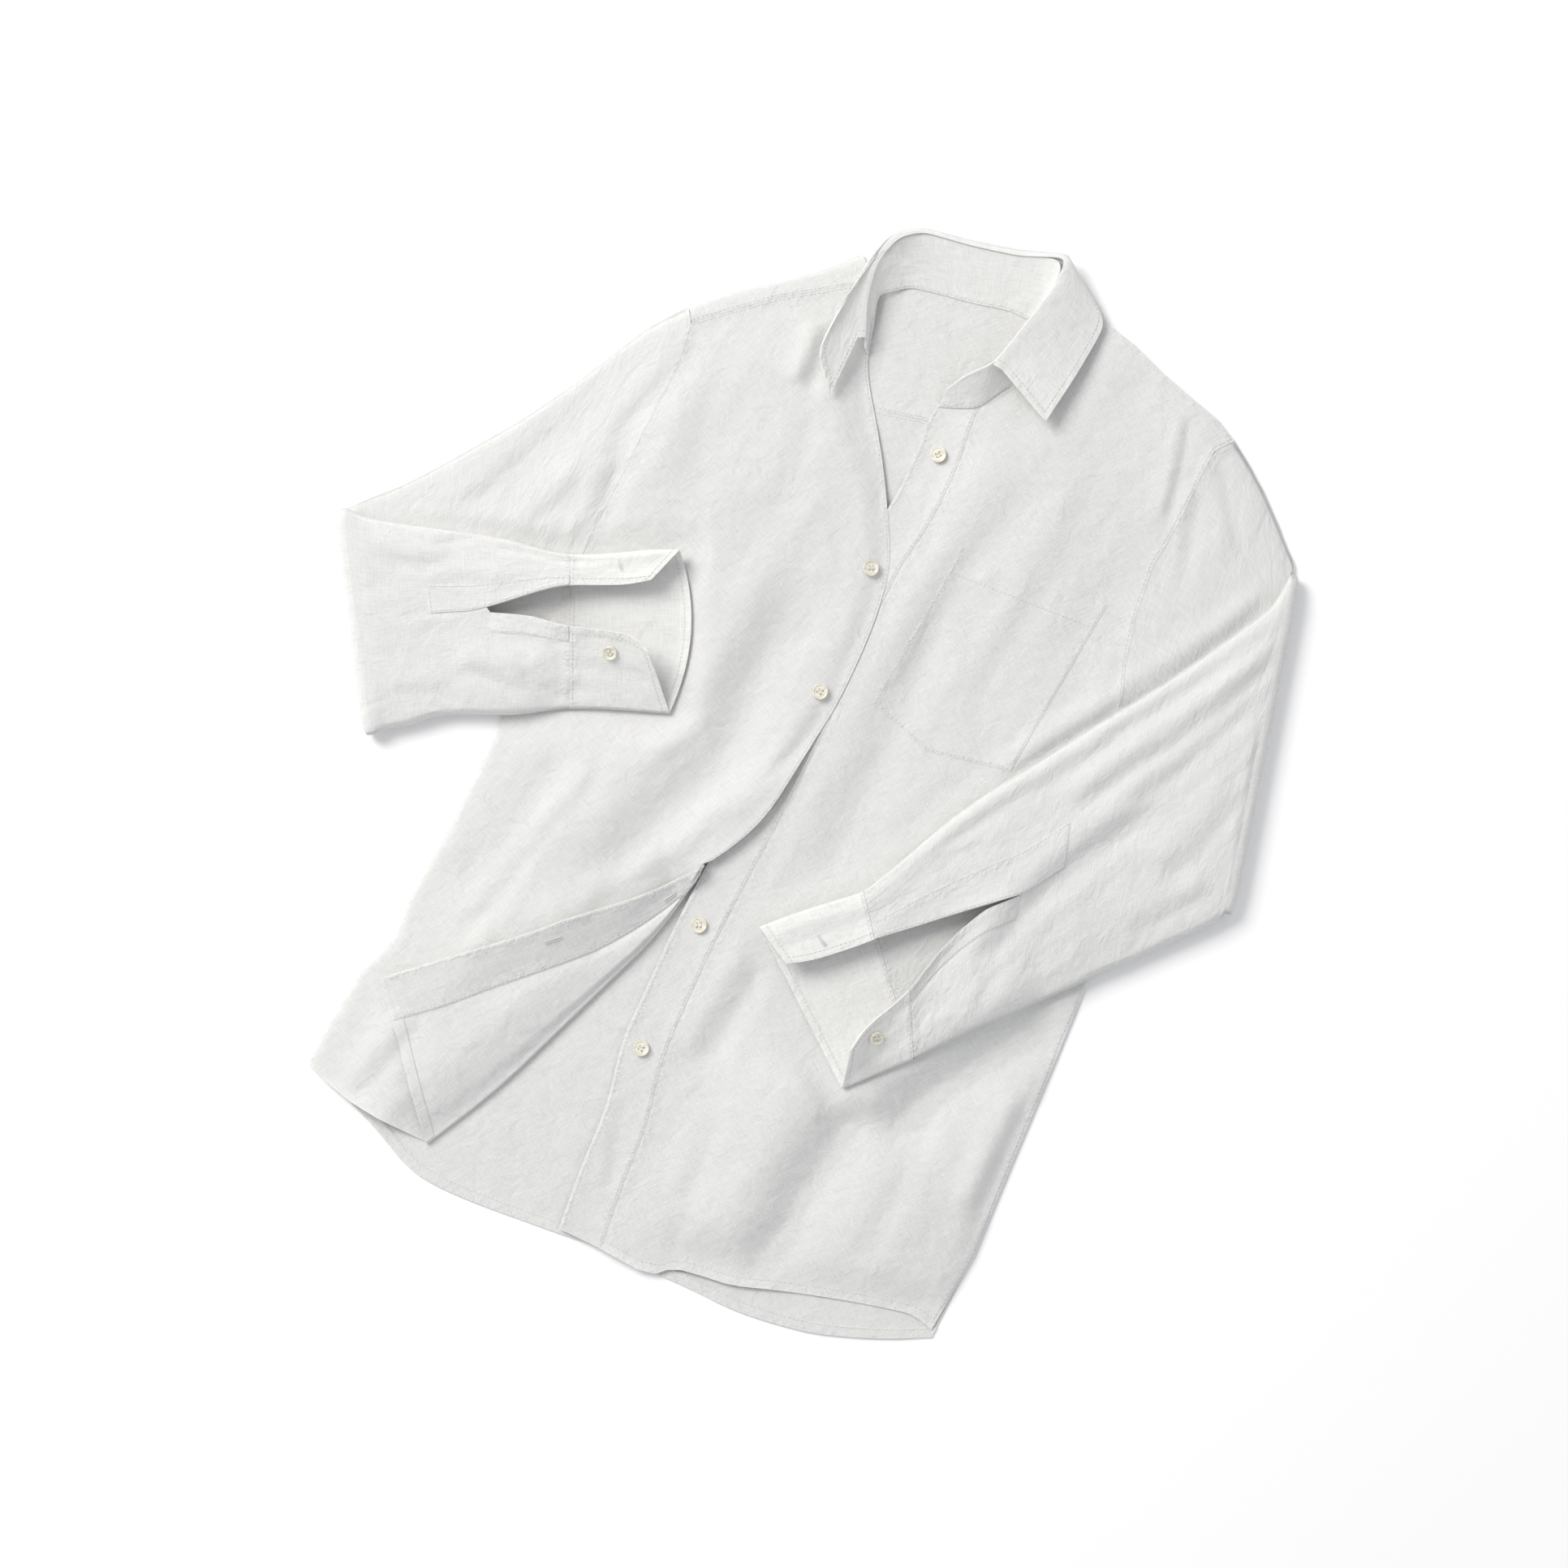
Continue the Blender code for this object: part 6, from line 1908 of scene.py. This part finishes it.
def make_stage():
    """Pale floor, one large soft light from the upper left, a fill and the camera."""
    scene = bpy.context.scene
    bpy.ops.object.select_all(action="DESELECT")
    bpy.ops.mesh.primitive_plane_add(size=FLOOR_SIDE, location=(0, 0, 0))
    floor = bpy.context.object
    floor.name = "backdrop_floor"
    floor.data.materials.append(backdrop_paper())

    lights = (
        ("soft_window", (-2.4, 2.3, 3.1), 2.2, 165.0, "FFFDFA"),
        ("wide_fill", (1.4, -1.0, 2.8), 2.4, 5.0, "F8FAFF"),
    )
    for name, place, size, power, tint in lights:
        lamp = bpy.data.lights.new(name, "AREA")
        lamp.shape, lamp.size, lamp.energy = "SQUARE", size, power
        lamp.color = linear(tint)
        holder = bpy.data.objects.new(name, lamp)
        holder.location = place
        way = mathutils.Vector((0.0, 0.0, 0.0)) - mathutils.Vector(place)
        holder.rotation_euler = way.to_track_quat("-Z", "Y").to_euler()
        scene.collection.objects.link(holder)

    world = bpy.data.worlds.new("even studio light")
    world.use_nodes = True
    world.node_tree.nodes["Background"].inputs["Color"].default_value = (
        *linear("FBFCFF"), 1.0)
    world.node_tree.nodes["Background"].inputs["Strength"].default_value = WORLD_STRENGTH
    scene.world = world
    scene.view_settings.view_transform = "Standard"

    camera = bpy.data.cameras.new("overhead_camera")
    camera.lens, camera.sensor_width = LENS, SENSOR
    holder = bpy.data.objects.new("overhead_camera", camera)
    wide = PICTURE_SIDE * MM_PER_PIXEL / 1000
    middle = at(PICTURE_MIDDLE) / 1000
    holder.location = (middle[0], middle[1], 0.01 + wide * LENS / SENSOR)
    holder.rotation_euler = (0.0, 0.0, 0.0)
    scene.collection.objects.link(holder)
    scene.camera = holder


def sleeve_sides():
    """What each sleeve is made from, by its side."""
    right_hole = np.vstack([at((848, 377)), at(RIGHT_ARMHOLE)])
    return {
        "right": (
            RIGHT_UPPER_ARM, RIGHT_ELBOW, RIGHT_FOREARM, RIGHT_CUFF, right_cloth,
            right_hole, RIGHT_ARM_CREASES, 5, SLEEVE_CUTS["right"],
        ),
        "left": (
            LEFT_UPPER_ARM, LEFT_ELBOW, LEFT_FOREARM, LEFT_CUFF, left_cloth,
            at(LEFT_ARMHOLE), LEFT_ARM_CREASES, 7, SLEEVE_CUTS["left"],
        ),
    }


class SHIRT_OT_body(bpy.types.Operator):
    """Add the back, the yoke, both fronts with their bands, and the pocket"""

    bl_idname = "shirt.body"
    bl_label = "Add Body Panels"

    def execute(self, context):
        make_back()
        make_yoke()
        make_left_front()
        make_right_front()
        make_pocket()
        return {"FINISHED"}


class SHIRT_OT_sleeves(bpy.types.Operator):
    """Add both folded sleeves with their plackets, bindings and cuffs"""

    bl_idname = "shirt.sleeves"
    bl_label = "Add Sleeves and Cuffs"

    def execute(self, context):
        for side, parts in sleeve_sides().items():
            make_sleeve(side, *parts)
        return {"FINISHED"}


class SHIRT_OT_collar(bpy.types.Operator):
    """Add the collar's stand and fall. The body panels come first"""

    bl_idname = "shirt.collar"
    bl_label = "Add Collar"

    def execute(self, context):
        make_collar()
        return {"FINISHED"}


class SHIRT_OT_sewing(bpy.types.Operator):
    """Add topstitching and buttonholes. The cloth pieces come first"""

    bl_idname = "shirt.sewing"
    bl_label = "Add Sewing"

    def execute(self, context):
        make_topstitching()
        make_buttonholes()
        return {"FINISHED"}


class SHIRT_OT_buttons(bpy.types.Operator):
    """Add the shell buttons and the thread that holds them. The cuffs come first"""

    bl_idname = "shirt.buttons"
    bl_label = "Add Buttons"

    def execute(self, context):
        make_buttons()
        return {"FINISHED"}


class SHIRT_OT_stage(bpy.types.Operator):
    """Add the floor, the studio light and the camera"""

    bl_idname = "shirt.stage"
    bl_label = "Add Stage"

    def execute(self, context):
        make_stage()
        return {"FINISHED"}


OPERATORS = (
    SHIRT_OT_body, SHIRT_OT_sleeves, SHIRT_OT_collar, SHIRT_OT_sewing, SHIRT_OT_buttons,
    SHIRT_OT_stage,
)


class SHIRT_PT_panel(bpy.types.Panel):
    """Sizes, colours and the steps that make the shirt"""

    bl_idname = "SHIRT_PT_panel"
    bl_label = "Crumpled Shirt"
    bl_space_type = "VIEW_3D"
    bl_region_type = "UI"
    bl_category = "Shirt"

    def draw(self, context):
        for group in (context.scene.shirt_sizes, context.scene.shirt_colours):
            column = self.layout.column()
            for key in group.__annotations__:
                column.prop(group, key)
        column = self.layout.column()
        for step in OPERATORS:
            column.operator(step.bl_idname)


CLASSES = (ShirtSizes, ShirtColours, *OPERATORS, SHIRT_PT_panel)


def register():
    for each in CLASSES:
        bpy.utils.register_class(each)
    bpy.types.Scene.shirt_sizes = bpy.props.PointerProperty(type=ShirtSizes)
    bpy.types.Scene.shirt_colours = bpy.props.PointerProperty(type=ShirtColours)


def unregister():
    del bpy.types.Scene.shirt_colours
    del bpy.types.Scene.shirt_sizes
    for each in reversed(CLASSES):
        bpy.utils.unregister_class(each)


def main():
    register()
    bpy.ops.shirt.body()
    bpy.ops.shirt.sleeves()
    bpy.ops.shirt.collar()
    bpy.ops.shirt.sewing()
    bpy.ops.shirt.buttons()
    bpy.ops.shirt.stage()


if __name__ == "__main__":
    main()
